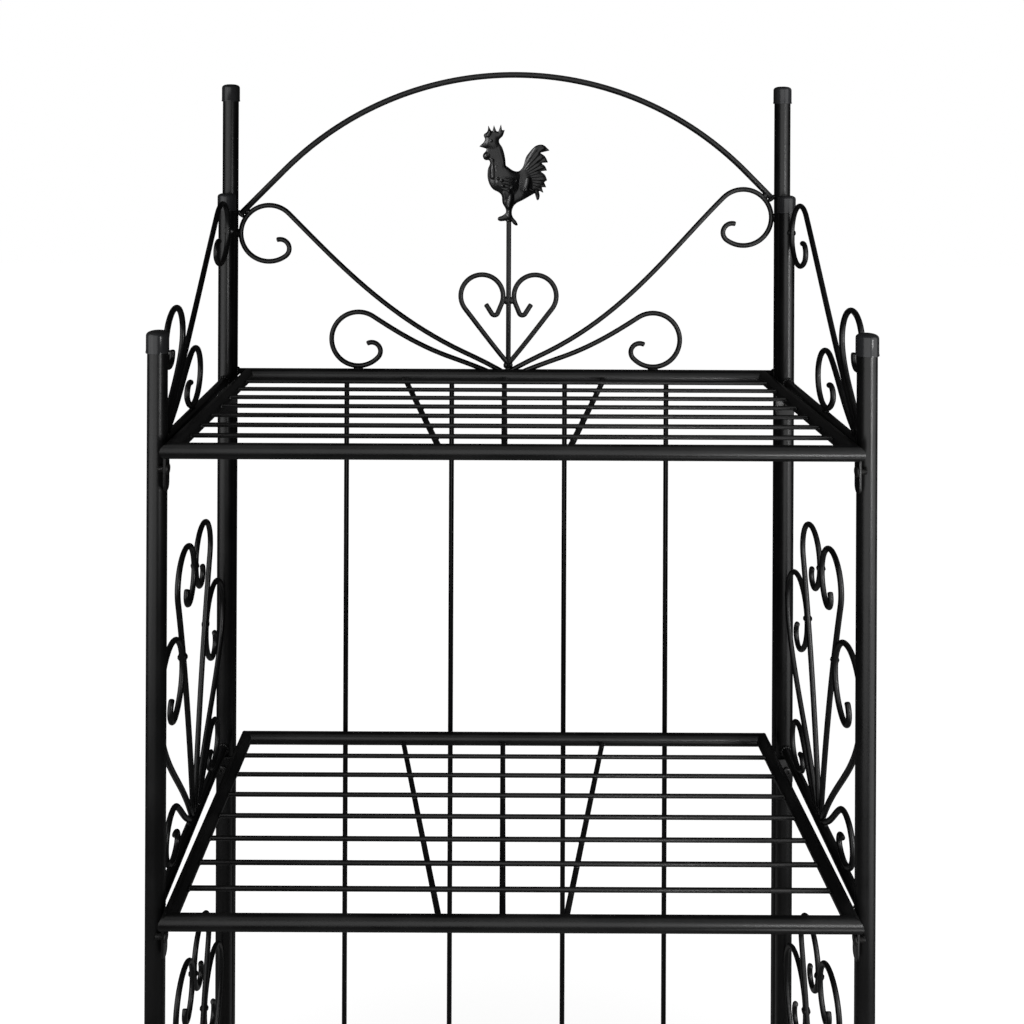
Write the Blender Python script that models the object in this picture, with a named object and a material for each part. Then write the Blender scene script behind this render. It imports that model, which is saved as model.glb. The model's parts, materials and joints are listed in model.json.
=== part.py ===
"""Plant stand of black powder-coated steel: two scrollwork side panels, a taller back panel
with an arch, scrolls, a heart and a rooster, and wire shelves bolted between them.

Metres, +Z up, the front faces -Y, and the origin is on the floor under the middle of the stand.
"""
import math

import bmesh
import bpy
from mathutils import Matrix, Vector
from mathutils.geometry import interpolate_bezier

# Overall layout
TIER_COUNT = 3
TIER_PITCH = 0.365
LEG_HEIGHT = 0.120  # floor to the axis of the lowest shelf's rails
POST_SPAN = 0.560  # left post axis to right post axis
SIDE_DEPTH = 0.245  # front post axis to rear post axis
FIT_GAP = 0.0003  # clearance between pieces that touch

# Posts, and their tops above the axis of the top shelf's rails
POST_DIAMETER = 0.016
POST_WALL = 0.0012
FRONT_POST_RISE = 0.0867
REAR_POST_RISE = 0.1805
BACK_POST_RISE = 0.2898
BACK_POST_CLEARANCE = 0.040  # floor to the lower end of a back post
POST_SIDES = 16

# Caps and feet
CAP_WALL = 0.0009
CAP_SKIRT = 0.0140
CAP_CROWN = 0.0035  # top of the dome above the end of the post
CAP_SHOULDER = 0.0010  # the dome starts this far below the end of the post
CAP_DOME_STEPS = 3
FOOT_WALL = 0.0012
FOOT_HEIGHT = 0.018
FOOT_SOLE = 0.004
FOOT_CHAMFER = 0.001

# Shelves
RAIL_DIAMETER = 0.0127
RAIL_SIDES = 12
FRONT_OVERHANG = 0.017  # front rail's axis ahead of the front posts' axis
REAR_TAPER = 0.0055  # the side rails run in by this much from front post to rear post
WIRE_DIAMETER = 0.004
WIRE_COUNT = 7
WIRE_SINK = 0.0022  # top of the wires below the top of the rails
WIRE_END_SHARE = 1.12  # the gaps beside the rails as a share of the gaps between wires
BEARER_DIAMETER = 0.005
BEARER_FRONT_SPREAD = 0.0495
BEARER_REAR_SPREAD = 0.0992
BEARER_FRONT_SHIFT = -0.0062  # the bearers stand a little left of the middle
BEARER_REAR_SHIFT = -0.0015
WELD_DEPTH = 0.0005  # how far welded rods sink into each other
WIRE_SIDES = 6

# Lugs and bolts
LUG_THICKNESS = 0.002
LUG_DROP = 0.034  # rail axis to the lug's lower end
LUG_ROUND = 0.006
FRONT_LUG_START = 0.0135  # the front lug's edges ahead of the front posts' axis
FRONT_LUG_END = 0.0015
REAR_LUG_INSET = 0.005  # the rear lug reaches this far inside the rear post
NECK_DROP = 0.002  # rail axis to the top of the rear lug's neck
BOLT_DIAMETER = 0.005
BOLT_HEAD_DIAMETER = 0.009
BOLT_HEAD_HEIGHT = 0.0018
BOLT_TAIL = 0.005  # shank past the last wall
BOLT_SIDES = 8
FRONT_BOLT_DROP = 0.016  # rail axis to the bolt's axis
FRONT_BOLT_AHEAD = 0.010  # the front bolt lies along the front of its post
REAR_BOLT_DROP = 0.022

# Side panels: sizes of the curls, and heights above the axis of the side bar they stand on
SIDE_BAR_DIAMETER = 0.0095
SIDE_BAR_DROP = 0.003  # axis of a side bar below the axis of its shelf's rails
SCROLL_DIAMETER = 0.005
FOOT_PITCH = 0.0058  # between the feet of neighbouring scrolls
FOOT_BEAD_DIAMETER = 0.0036  # weld along the feet
FAN_HEART_RADIUS = 0.0280
FAN_HEART_HEIGHT = 0.2250
FAN_CURL_RADIUS = 0.0345
FAN_CURL_HEIGHT = 0.1560
FAN_LOW_CURL_DROP = 0.0105  # one rear curl sits lower, under the top shelf on the left
FAN_LOW_RADIUS = 0.0208
FAN_LOW_REACH = 0.0715  # middle of the fan to the centre of the low curl
SPRAY_START = 0.0145  # front post axis to the first foot of the spray
SPRAY_FOOT_PITCH = 0.0080
SPRAY_LONG_RADIUS = 0.0290
SPRAY_LONG_HEIGHT = 0.1500
SPRAY_LOOP_RADIUS = 0.0265
SPRAY_LOOP_HEIGHT = 0.0775
SPRAY_LOOP_REACH = 0.0425  # front post axis to the centre of the loop
SPRAY_LOW_RADIUS = 0.0250
SPRAY_LOW_REACH = 0.1110
SPRAY_LEAN_LEFT = math.radians(1.5)  # both sprays lean a little to the right
SPRAY_LEAN_RIGHT = math.radians(1.0)
SCROLLS_IN_ROW = 3  # feet side by side under a spray and under each half of a fan

# Turns of the scrolls in degrees: lean of the stem at its foot, start of the curl and its sweep to the hook
FAN_HEART_TURN = (80, -20, 256)
FAN_CURL_TURN = (57, 0, 250)
FAN_LOW_TURN = (30, 125, -255)
SPRAY_LOOP_TURN = (50, -20, 235)
SPRAY_LONG_TURN = (42, 135, -262)
SPRAY_LOW_TURN = (25, 120, -260)
UPPER_TURN = (20, 135, -261)
LOWER_TURN = (12, 123, -260)
HEART_TURN = (50, -38, 248)
HOOK_SWEEP = 165

# Back panel: heights above the axis of the top shelf's rails
BACK_BAR_DIAMETER = 0.006
BACK_BAR_RISE = 0.0023
BACK_ROD_DIAMETER = 0.005
BACK_ROD_PLACES = (-0.161, -0.0545, 0.060, 0.163)
ARCH_DIAMETER = 0.006
ARCH_RISE = 0.3044  # axis of the arch at its crown
ARCH_SHIFT = 0.009  # the crown stands right of the middle
ARCH_STRAIGHT = 0.0377  # width of each straight end, beyond the round part
ARCH_TURN = math.radians(45.2)  # slope of the straight ends
ARCH_STEPS = 20
UPPER_RADIUS = 0.0285
UPPER_START = 0.0080
LOWER_RADIUS = 0.0273
LOWER_REACH = 0.1494  # middle of the stand to the centre of the lower curl
LOWER_START = 0.0230
STEM_SHIFT = 0.0027
STEM_TOP = 0.1560
HEART_RADIUS = 0.0215
HEART_HEIGHT = 0.0795
HEART_GAP = 0.0005  # between a heart's lobe and the stem
ROOSTER_THICKNESS = 0.006
ROOSTER_SCALE = 0.001  # the outline below is drawn in millimetres

# How meshes and scrolls are drawn
MERGE_DISTANCE = 1e-6
SMOOTH_ANGLE = math.radians(40)
LUG_ROUND_STEPS = 3
OUTLINE_STEPS = 2
STEM_STEPS = 6
CURL_STEPS = 11
HOOK_STEPS = 5
STEM_PULL = 0.40  # handle lengths as shares of the stem's chord
CURL_PULL = 0.30
HOOK_SHARE = 0.33  # radius of the hook at the tip as a share of the curl's radius
ROD_BEVEL_STEPS = 1  # six-sided rods

# Rooster outline in millimetres, across from the stem and up from the stem's top; True marks a sharp point
ROOSTER_OUTLINE = (
    (-30.4, 75.1, True), (-24.6, 82.3, False), (-25.9, 86.9, False), (-22.3, 90.4, False),
    (-20.9, 95.3, True), (-18.6, 90.9, True), (-16.9, 90.3, True), (-15.3, 95.6, True),
    (-13.3, 90.3, True), (-10.6, 89.8, True), (-8.6, 96.6, True), (-7.6, 91.2, True),
    (-4.5, 92.2, True), (-6.6, 86.0, False), (-10.2, 81.5, False), (-4.7, 68.0, False),
    (-3.3, 55.8, False), (8.1, 50.0, False), (12.1, 51.9, False), (18.8, 67.2, False),
    (32.3, 77.4, False), (41.3, 71.4, True), (31.4, 69.0, True), (36.2, 65.6, False),
    (39.6, 59.2, True), (31.9, 58.6, True), (36.2, 55.8, False), (38.6, 51.0, True),
    (31.6, 50.2, True), (36.4, 46.6, False), (38.7, 41.1, True), (35.6, 39.2, True),
    (37.9, 33.9, True), (33.2, 34.2, True), (35.0, 28.3, True), (30.4, 30.6, True),
    (28.9, 21.2, True), (26.2, 27.5, False), (14.5, 21.2, False), (6.4, 16.6, False),
    (3.6, 12.0, False), (3.3, 5.5, False), (8.7, -3.6, True), (4.4, 0.6, True),
    (-3.4, 0.6, True), (-10.7, 2.1, True), (-2.1, 7.5, False), (-6.6, 18.3, False),
    (-8.1, 26.4, False), (-17.1, 32.7, False), (-21.2, 40.8, False), (-21.7, 50.8, False),
    (-20.0, 60.7, False), (-24.5, 61.6, False), (-26.7, 66.1, False), (-23.6, 70.6, True),
    (-22.7, 72.8, True),
)

# Sizes and places that follow from the values above
postRadius = POST_DIAMETER / 2
railRadius = RAIL_DIAMETER / 2
rodRadius = SCROLL_DIAMETER / 2
sideBarRadius = SIDE_BAR_DIAMETER / 2
backBarRadius = BACK_BAR_DIAMETER / 2
archRodRadius = ARCH_DIAMETER / 2
boltRadius = BOLT_DIAMETER / 2
capBore = postRadius + FIT_GAP
capRadius = capBore + CAP_WALL
footRadius = capBore + FOOT_WALL
backStep = postRadius + capRadius + FIT_GAP  # the rear cap clears the back post
frontReach = FRONT_OVERHANG + railRadius
backReach = SIDE_DEPTH + backStep + capRadius
frontY = (frontReach - backReach) / 2
rearY = frontY + SIDE_DEPTH
backY = rearY + backStep
postX = POST_SPAN / 2
tierHeights = [LEG_HEIGHT + tier * TIER_PITCH for tier in range(TIER_COUNT)]
topZ = tierHeights[-1]
frontRailY = frontY - FRONT_OVERHANG
rearRailY = backY - max(backBarRadius, BACK_ROD_DIAMETER / 2) - FIT_GAP - railRadius
sideRailX = postX - postRadius - 2 * FIT_GAP - railRadius
lugFaceX = postX - postRadius - FIT_GAP
lugFaceY = rearY - postRadius - FIT_GAP
panelStart = frontY + postRadius + FIT_GAP
panelEnd = rearY - postRadius - FIT_GAP
fanFoot = sideBarRadius + FIT_GAP + rodRadius
ornamentFoot = BACK_BAR_RISE + backBarRadius + FIT_GAP + rodRadius
backFaceX = postX - postRadius - FIT_GAP
archBend = backFaceX - ARCH_STRAIGHT  # half the width of the arch's round part
archRadius = archBend / math.sin(ARCH_TURN)


def railX(y):
    """Distance of a shelf's side rail from the middle, at depth y."""
    return sideRailX - REAR_TAPER * (y - frontY) / SIDE_DEPTH


def clearScene():
    for item in list(bpy.data.objects):
        bpy.data.objects.remove(item)


def makeMaterial(name, colour, roughness, metallic):
    material = bpy.data.materials.new(name)
    material.use_nodes = True
    shader = material.node_tree.nodes["Principled BSDF"]
    shader.inputs["Base Color"].default_value = (*colour, 1.0)
    shader.inputs["Roughness"].default_value = roughness
    shader.inputs["Metallic"].default_value = metallic
    return material


def finishMesh(builder, name):
    """Closes a bmesh into a mesh with outward faces and smooth round sides."""
    bmesh.ops.remove_doubles(builder, verts=builder.verts, dist=MERGE_DISTANCE)
    bmesh.ops.recalc_face_normals(builder, faces=builder.faces)
    mesh = bpy.data.meshes.new(name)
    builder.to_mesh(mesh)
    builder.free()
    mesh.shade_smooth()
    mesh.set_sharp_from_angle(angle=SMOOTH_ANGLE)
    return mesh


def place(name, mesh, material, stand, location=(0, 0, 0), rotation=(0, 0, 0)):
    """Adds one sub-part to the stand."""
    if not mesh.materials:
        mesh.materials.append(material)
    item = bpy.data.objects.new(name, mesh)
    item.location = location
    item.rotation_euler = rotation
    item.parent = stand
    bpy.context.collection.objects.link(item)
    return item


def rodBetween(start, end, radius, sides, name="rod"):
    """Straight round rod with flat ends."""
    start, end = Vector(start), Vector(end)
    turn = (end - start).to_track_quat("Z", "Y").to_matrix().to_4x4()
    builder = bmesh.new()
    bmesh.ops.create_cone(builder, cap_ends=True, segments=sides, radius1=radius, radius2=radius,
                          depth=(end - start).length, matrix=Matrix.Translation((start + end) / 2) @ turn)
    return finishMesh(builder, name)


def block(low, high, name="block"):
    """Box between two corners."""
    low, high = Vector(low), Vector(high)
    builder = bmesh.new()
    size = Matrix.Diagonal((*(high - low), 1.0))
    bmesh.ops.create_cube(builder, size=1.0, matrix=Matrix.Translation((low + high) / 2) @ size)
    return finishMesh(builder, name)


def turned(profile, sides, name):
    """Solid of revolution about Z from a profile of (radius, height) points."""
    builder = bmesh.new()
    corners = [builder.verts.new((radius, 0.0, height)) for radius, height in profile]
    edges = [builder.edges.new(pair) for pair in zip(corners, corners[1:])]
    bmesh.ops.spin(builder, geom=corners + edges, cent=(0, 0, 0), axis=(0, 0, 1), angle=2 * math.pi,
                   steps=sides, use_merge=True)
    return finishMesh(builder, name)


def bentRod(points, diameter, name):
    """Round rod through the points, with flat ends."""
    curve = bpy.data.curves.new(name, "CURVE")
    curve.dimensions = "3D"
    curve.bevel_depth = diameter / 2
    curve.bevel_resolution = ROD_BEVEL_STEPS
    curve.use_fill_caps = True
    curve.twist_mode = "MINIMUM"
    spline = curve.splines.new("POLY")
    spline.points.add(len(points) - 1)
    for knot, point in zip(spline.points, points):
        knot.co = (*point, 1.0)
    return curveToMesh(curve, name)


def arcPoints(centre, radius, start, sweep, steps):
    """Points along an arc, with its end and without its start."""
    angles = [start + sweep * (step + 1) / steps for step in range(steps)]
    return [centre + radius * Vector((math.cos(angle), math.sin(angle))) for angle in angles]


def scrollPath(foot, centre, radius, turn):
    """Flat path of a scroll: a stem from its foot, a curl round its centre and a hook at the tip.

    Angles run from the outward direction; a negative sweep goes over the top and down outside.
    """
    foot, centre = Vector(foot), Vector(centre)
    lean, start, sweep = (math.radians(angle) for angle in turn)
    first = centre + radius * Vector((math.cos(start), math.sin(start)))
    heading = math.copysign(1.0, sweep) * Vector((-math.sin(start), math.cos(start)))
    chord = (first - foot).length
    leave = foot + STEM_PULL * chord * Vector((math.cos(lean), math.sin(lean)))
    arrive = first - CURL_PULL * chord * heading
    stem = interpolate_bezier(foot, leave, arrive, first, STEM_STEPS + 1)
    curl = arcPoints(centre, radius, start, sweep, CURL_STEPS)
    hookRadius = HOOK_SHARE * radius
    hookCentre = curl[-1].lerp(centre, HOOK_SHARE)
    hookSweep = math.copysign(math.radians(HOOK_SWEEP), sweep)
    return stem + curl + arcPoints(hookCentre, hookRadius, start + sweep, hookSweep, HOOK_STEPS)


def curveToMesh(curve, name):
    """Turns a curve into a closed mesh of its own."""
    holder = bpy.data.objects.new(name, curve)
    bpy.context.collection.objects.link(holder)
    bpy.context.view_layer.update()
    solid = bpy.data.meshes.new_from_object(holder.evaluated_get(bpy.context.evaluated_depsgraph_get()))
    bpy.data.objects.remove(holder)
    builder = bmesh.new()
    builder.from_mesh(solid)
    return finishMesh(builder, name)


def combine(base, others, operation, name):
    """Boolean of one mesh with several others, as one new mesh."""
    holder = bpy.data.objects.new(name, base)
    bpy.context.collection.objects.link(holder)
    helpers = []
    for other in others:
        helper = bpy.data.objects.new(name + "_helper", other)
        helper.hide_render = True
        helper.display_type = "WIRE"
        bpy.context.collection.objects.link(helper)
        helpers.append(helper)
        change = holder.modifiers.new("combine", "BOOLEAN")
        change.operation = operation
        change.object = helper
    bpy.context.view_layer.update()
    solid = bpy.data.meshes.new_from_object(holder.evaluated_get(bpy.context.evaluated_depsgraph_get()))
    for item in [holder, *helpers]:
        bpy.data.objects.remove(item)
    builder = bmesh.new()
    builder.from_mesh(solid)
    return finishMesh(builder, name)


def drill(start, end):
    """Cutter for a bolt hole."""
    return rodBetween(start, end, boltRadius + FIT_GAP, BOLT_SIDES, "drill")


def tube(low, high, name):
    """Post tube about Z, open at both ends."""
    bore = postRadius - POST_WALL
    return turned([(postRadius, high), (postRadius, low), (bore, low), (bore, high), (postRadius, high)],
                  POST_SIDES, name)


def buildPosts(stand, steel):
    """Front, rear and back posts; the rear bolts pass through the rear posts into the back posts."""
    footing = FOOT_SOLE + FIT_GAP
    past = postRadius + FIT_GAP
    boltHeights = [height - REAR_BOLT_DROP for height in tierHeights]
    through = [drill((0, -past, z), (0, past, z)) for z in boltHeights]
    half = [drill((0, -past, z), (0, 0, z)) for z in boltHeights]
    front = tube(footing, topZ + FRONT_POST_RISE, "front_post")
    rear = combine(tube(footing, topZ + REAR_POST_RISE, "rear_post"), through, "DIFFERENCE", "rear_post")
    backTube = tube(BACK_POST_CLEARANCE, topZ + BACK_POST_RISE, "back_post")
    back = combine(backTube, half, "DIFFERENCE", "back_post")
    for side, sign in (("left", -1), ("right", 1)):
        place("front_post_" + side, front, steel, stand, (sign * postX, frontY, 0))
        place("rear_post_" + side, rear, steel, stand, (sign * postX, rearY, 0))
        place("back_post_" + side, back, steel, stand, (sign * postX, backY, 0))


def capMesh():
    """Domed push-on cap, with the end of its post at height 0."""
    dome = []
    for step in range(CAP_DOME_STEPS + 1):
        angle = math.pi / 2 * (1 - step / CAP_DOME_STEPS)
        height = -CAP_SHOULDER + (CAP_CROWN + CAP_SHOULDER) * math.sin(angle)
        dome.append((capRadius * math.cos(angle), height))
    inside = [(capRadius, -CAP_SKIRT), (capBore, -CAP_SKIRT), (capBore, FIT_GAP), (0.0, FIT_GAP)]
    return turned([(0.0, CAP_CROWN)] + dome[1:] + inside, POST_SIDES, "cap")


def footMesh():
    """Push-on foot with a flat sole on the floor."""
    profile = [(0.0, FOOT_SOLE), (capBore, FOOT_SOLE), (capBore, FOOT_HEIGHT), (footRadius, FOOT_HEIGHT),
               (footRadius, FOOT_CHAMFER), (footRadius - FOOT_CHAMFER, 0.0), (0.0, 0.0)]
    return turned(profile, POST_SIDES, "foot")


def buildCapsAndFeet(stand, plastic):
    cap = capMesh()
    foot = footMesh()
    for side, sign in (("left", -1), ("right", 1)):
        x = sign * postX
        place("front_cap_" + side, cap, plastic, stand, (x, frontY, topZ + FRONT_POST_RISE))
        place("rear_cap_" + side, cap, plastic, stand, (x, rearY, topZ + REAR_POST_RISE))
        place("back_cap_" + side, cap, plastic, stand, (x, backY, topZ + BACK_POST_RISE))
        place("front_foot_" + side, foot, plastic, stand, (x, frontY, 0))
        place("rear_foot_" + side, foot, plastic, stand, (x, rearY, 0))


def railLoop():
    """Mitred rectangle of the shelf frame's rail, about the rail's axis height."""
    corners = [Vector((-railX(frontRailY), frontRailY, 0)), Vector((railX(frontRailY), frontRailY, 0)),
               Vector((railX(rearRailY), rearRailY, 0)), Vector((-railX(rearRailY), rearRailY, 0))]
    builder = bmesh.new()
    rings = []
    for index, corner in enumerate(corners):
        before = (corner - corners[index - 1]).normalized()
        after = (corners[(index + 1) % len(corners)] - corner).normalized()
        along = (before + after).normalized()
        across = along.cross(Vector((0, 0, 1)))
        stretch = 1 / along.dot(after)
        turn = Matrix((across * stretch, Vector((0, 0, 1)), along)).transposed().to_4x4()
        made = bmesh.ops.create_circle(builder, segments=RAIL_SIDES, radius=railRadius,
                                       matrix=Matrix.Translation(corner) @ turn)
        rings.append(list({edge for vert in made["verts"] for edge in vert.link_edges}))
    for first, second in zip(rings, rings[1:] + rings[:1]):
        bmesh.ops.bridge_loops(builder, edges=first + second)
    return finishMesh(builder, "rail_loop")


def frontLug(sign):
    """Upright lug beside a front post, rounded at its lower corners."""
    outer = sign * lugFaceX
    inner = sign * (lugFaceX - LUG_THICKNESS)
    builder = bmesh.new()
    low = Vector((min(outer, inner), frontY - FRONT_LUG_START, -LUG_DROP))
    high = Vector((max(outer, inner), frontY - FRONT_LUG_END, -WELD_DEPTH))
    size = Matrix.Diagonal((*(high - low), 1.0))
    bmesh.ops.create_cube(builder, size=1.0, matrix=Matrix.Translation((low + high) / 2) @ size)
    lower = [edge for edge in builder.edges
             if all(abs(vert.co.z - low.z) < FIT_GAP for vert in edge.verts)
             and abs(edge.verts[0].co.y - edge.verts[1].co.y) < FIT_GAP]
    bmesh.ops.bevel(builder, geom=lower, offset=LUG_ROUND - FIT_GAP, segments=LUG_ROUND_STEPS, profile=0.5,
                    affect="EDGES")
    return finishMesh(builder, "front_lug")


def rearLug(sign):
    """Flat lug in front of a rear post, hung on the side rail by a short neck."""
    nearY = lugFaceY - LUG_THICKNESS
    top = -(SIDE_BAR_DROP + sideBarRadius + LUG_THICKNESS)
    inner = postX - postRadius - REAR_LUG_INSET
    span = sorted((sign * inner, sign * (postX + postRadius - LUG_THICKNESS)))
    plate = block((span[0], nearY, -LUG_DROP), (span[1], lugFaceY, top))
    neckSpan = sorted((sign * railX(lugFaceY), sign * (inner + LUG_THICKNESS)))
    neck = block((neckSpan[0], nearY, top - LUG_THICKNESS), (neckSpan[1], lugFaceY, -NECK_DROP))
    return [plate, neck]


def frameMesh():
    """Shelf frame: rail loop, four lugs and their bolt holes."""
    lugs = []
    holes = []
    boltY = frontY - FRONT_BOLT_AHEAD
    for sign in (-1, 1):
        lugs += [frontLug(sign), *rearLug(sign)]
        holes.append(drill((sign * (lugFaceX - 2 * LUG_THICKNESS), boltY, -FRONT_BOLT_DROP),
                           (sign * (lugFaceX + LUG_THICKNESS), boltY, -FRONT_BOLT_DROP)))
        holes.append(drill((sign * postX, lugFaceY - 2 * LUG_THICKNESS, -REAR_BOLT_DROP),
                           (sign * postX, lugFaceY + LUG_THICKNESS, -REAR_BOLT_DROP)))
    welded = combine(railLoop(), lugs, "UNION", "welded_frame")
    return combine(welded, holes, "DIFFERENCE", "shelf_frame")


def gridMesh():
    """Shelf grid: cross wires between the rails, welded on three bearers."""
    wireZ = railRadius - WIRE_SINK - WIRE_DIAMETER / 2
    bearerZ = wireZ - WIRE_DIAMETER / 2 - BEARER_DIAMETER / 2 + WELD_DEPTH
    splay = (BEARER_REAR_SPREAD - BEARER_FRONT_SPREAD) / (rearRailY - frontRailY)
    endGap = FIT_GAP + BEARER_DIAMETER / 2 * splay  # the splayed ends are cut square
    frontEnd = frontRailY + railRadius + endGap
    rearEnd = rearRailY - railRadius - endGap
    pieces = []
    for side in (-1, 0, 1):
        pieces.append(rodBetween((BEARER_FRONT_SHIFT + side * BEARER_FRONT_SPREAD, frontEnd, bearerZ),
                                 (BEARER_REAR_SHIFT + side * BEARER_REAR_SPREAD, rearEnd, bearerZ),
                                 BEARER_DIAMETER / 2, WIRE_SIDES))
    pitch = (rearRailY - frontRailY) / (WIRE_COUNT - 1 + 2 * WIRE_END_SHARE)
    for index in range(WIRE_COUNT):
        y = frontRailY + pitch * (WIRE_END_SHARE + index)
        half = railX(y) - railRadius - FIT_GAP
        pieces.append(rodBetween((-half, y, wireZ), (half, y, wireZ), WIRE_DIAMETER / 2, WIRE_SIDES))
    return combine(pieces[0], pieces[1:], "UNION", "shelf_grid")


def buildShelves(stand, steel):
    frame = frameMesh()
    grid = gridMesh()
    for tier, height in enumerate(tierHeights, start=1):
        place(f"shelf_frame_{tier}", frame, steel, stand, (0, 0, height))
        place(f"shelf_grid_{tier}", grid, steel, stand, (0, 0, height))


def boltMesh(length, name):
    """Bolt along +Z with its head's seat at height 0."""
    headRadius = BOLT_HEAD_DIAMETER / 2
    crown = headRadius - BOLT_HEAD_HEIGHT / 2
    profile = [(0.0, length), (boltRadius, length), (boltRadius, 0.0), (headRadius, 0.0),
               (headRadius, -BOLT_HEAD_HEIGHT / 2), (crown, -BOLT_HEAD_HEIGHT), (0.0, -BOLT_HEAD_HEIGHT)]
    return turned(profile, BOLT_SIDES, name)


def buildBolts(stand, hardware):
    """A bolt at each shelf corner: along the front post's face in front, through both posts behind."""
    grip = LUG_THICKNESS + FIT_GAP
    short = boltMesh(grip + BOLT_TAIL, "front_bolt")
    long = boltMesh(FIT_GAP + grip + backStep + POST_WALL + BOLT_TAIL, "rear_bolt")
    seatX = lugFaceX - grip
    seatY = lugFaceY - grip
    for tier, height in enumerate(tierHeights, start=1):
        for side, sign in (("left", -1), ("right", 1)):
            frontSeat = (sign * seatX, frontY - FRONT_BOLT_AHEAD, height - FRONT_BOLT_DROP)
            place(f"front_bolt_{tier}_{side}", short, hardware, stand, frontSeat, (0, sign * math.pi / 2, 0))
            rearSeat = (sign * postX, seatY, height - REAR_BOLT_DROP)
            place(f"rear_bolt_{tier}_{side}", long, hardware, stand, rearSeat, (-math.pi / 2, 0, 0))


def sideScroll(path, start, direction=1):
    """Rod in a side panel's plane; the path runs along Y from start, with heights above the bar's axis."""
    points = [(0.0, start + direction * along, up) for along, up in path]
    return bentRod(points, SCROLL_DIAMETER, "side_scroll")


def footBead(start, end):
    """Weld that joins a row of scroll feet."""
    return rodBetween((0, start, fanFoot), (0, end, fanFoot), FOOT_BEAD_DIAMETER / 2, WIRE_SIDES)


def fanMesh(rearDrop=0.0):
    """Heart, two curls against the posts and two low curls, welded in a row at their feet."""
    middle = (frontY + rearY) / 2
    feet = [(FOOT_PITCH * (index + 0.5), fanFoot) for index in range(SCROLLS_IN_ROW)]
    heartCentre = (FAN_HEART_RADIUS + FOOT_PITCH / 2, FAN_HEART_HEIGHT)
    curlReach = (panelEnd - panelStart) / 2 - rodRadius - FAN_CURL_RADIUS
    lowCentre = (FAN_LOW_REACH, fanFoot + FAN_LOW_RADIUS)
    heart = scrollPath(feet[0], heartCentre, FAN_HEART_RADIUS, FAN_HEART_TURN)
    low = scrollPath(feet[2], lowCentre, FAN_LOW_RADIUS, FAN_LOW_TURN)
    rods = []
    for direction, drop in ((-1, 0.0), (1, rearDrop)):
        curlCentre = (curlReach, FAN_CURL_HEIGHT - drop)
        curl = scrollPath(feet[1], curlCentre, FAN_CURL_RADIUS, FAN_CURL_TURN)
        rods += [sideScroll(path, middle, direction) for path in (heart, curl, low)]
    spread = feet[2][0] + FOOT_PITCH / 2
    return combine(footBead(middle - spread, middle + spread), rods, "UNION", "side_fan")


def sprayMesh():
    """Three scrolls from a row of feet behind the front post: looped, long and low."""
    feet = [(SPRAY_START + SPRAY_FOOT_PITCH * index, fanFoot) for index in range(SCROLLS_IN_ROW)]
    loopCentre = (SPRAY_LOOP_REACH, SPRAY_LOOP_HEIGHT)
    longCentre = (panelEnd - frontY - rodRadius - SPRAY_LONG_RADIUS, SPRAY_LONG_HEIGHT)
    lowCentre = (SPRAY_LOW_REACH, fanFoot + SPRAY_LOW_RADIUS)
    loop = scrollPath(feet[0], loopCentre, SPRAY_LOOP_RADIUS, SPRAY_LOOP_TURN)
    long = scrollPath(feet[1], longCentre, SPRAY_LONG_RADIUS, SPRAY_LONG_TURN)
    low = scrollPath(feet[2], lowCentre, SPRAY_LOW_RADIUS, SPRAY_LOW_TURN)
    rods = [sideScroll(path, frontY) for path in (loop, long, low)]
    return combine(footBead(frontY + feet[0][0], frontY + feet[2][0]), rods, "UNION", "side_spray")


def buildSidePanels(stand, steel):
    """Side bars at each tier, fans on the lower ones and a spray on the top one."""
    bar = rodBetween((0, panelStart, 0), (0, panelEnd, 0), sideBarRadius, RAIL_SIDES, "side_bar")
    fan = fanMesh()
    lowFan = fanMesh(FAN_LOW_CURL_DROP)
    spray = sprayMesh()
    for side, sign, lean in (("left", -1, SPRAY_LEAN_LEFT), ("right", 1, SPRAY_LEAN_RIGHT)):
        x = sign * postX
        for tier, height in enumerate(tierHeights, start=1):
            place(f"side_bar_{tier}_{side}", bar, steel, stand, (x, 0, height - SIDE_BAR_DROP))
            if tier < TIER_COUNT:
                panel = lowFan if side == "left" and tier == TIER_COUNT - 1 else fan
                place(f"side_fan_{tier}_{side}", panel, steel, stand, (x, 0, height - SIDE_BAR_DROP))
        place("side_spray_" + side, spray, steel, stand, (x, 0, topZ - SIDE_BAR_DROP), (0, lean, 0))


def archEndHeight(reach):
    """Height of the arch's straight end above the top rails' axis, this far sideways from the crown."""
    bendHeight = ARCH_RISE - archRadius * (1 - math.cos(ARCH_TURN))
    return bendHeight - math.tan(ARCH_TURN) * (reach - archBend)


def archPoints():
    """Round arch with straight ends that run down to the back posts."""
    centreZ = topZ + ARCH_RISE - archRadius
    endX = backFaceX - archRodRadius * math.sin(ARCH_TURN)  # the ends are cut square
    points = [(-endX, backY, topZ + archEndHeight(endX + ARCH_SHIFT))]
    for step in range(ARCH_STEPS + 1):
        angle = ARCH_TURN * (2 * step / ARCH_STEPS - 1)
        x = ARCH_SHIFT + archRadius * math.sin(angle)
        points.append((x, backY, centreZ + archRadius * math.cos(angle)))
    points.append((endX, backY, topZ + archEndHeight(endX - ARCH_SHIFT)))
    return points


def backScroll(path, start, direction, name):
    """Rod in the back panel's plane; the path runs sideways from start, with heights above the top rails."""
    points = [(start + direction * along, backY, topZ + up) for along, up in path]
    return bentRod(points, SCROLL_DIAMETER, name)


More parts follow.
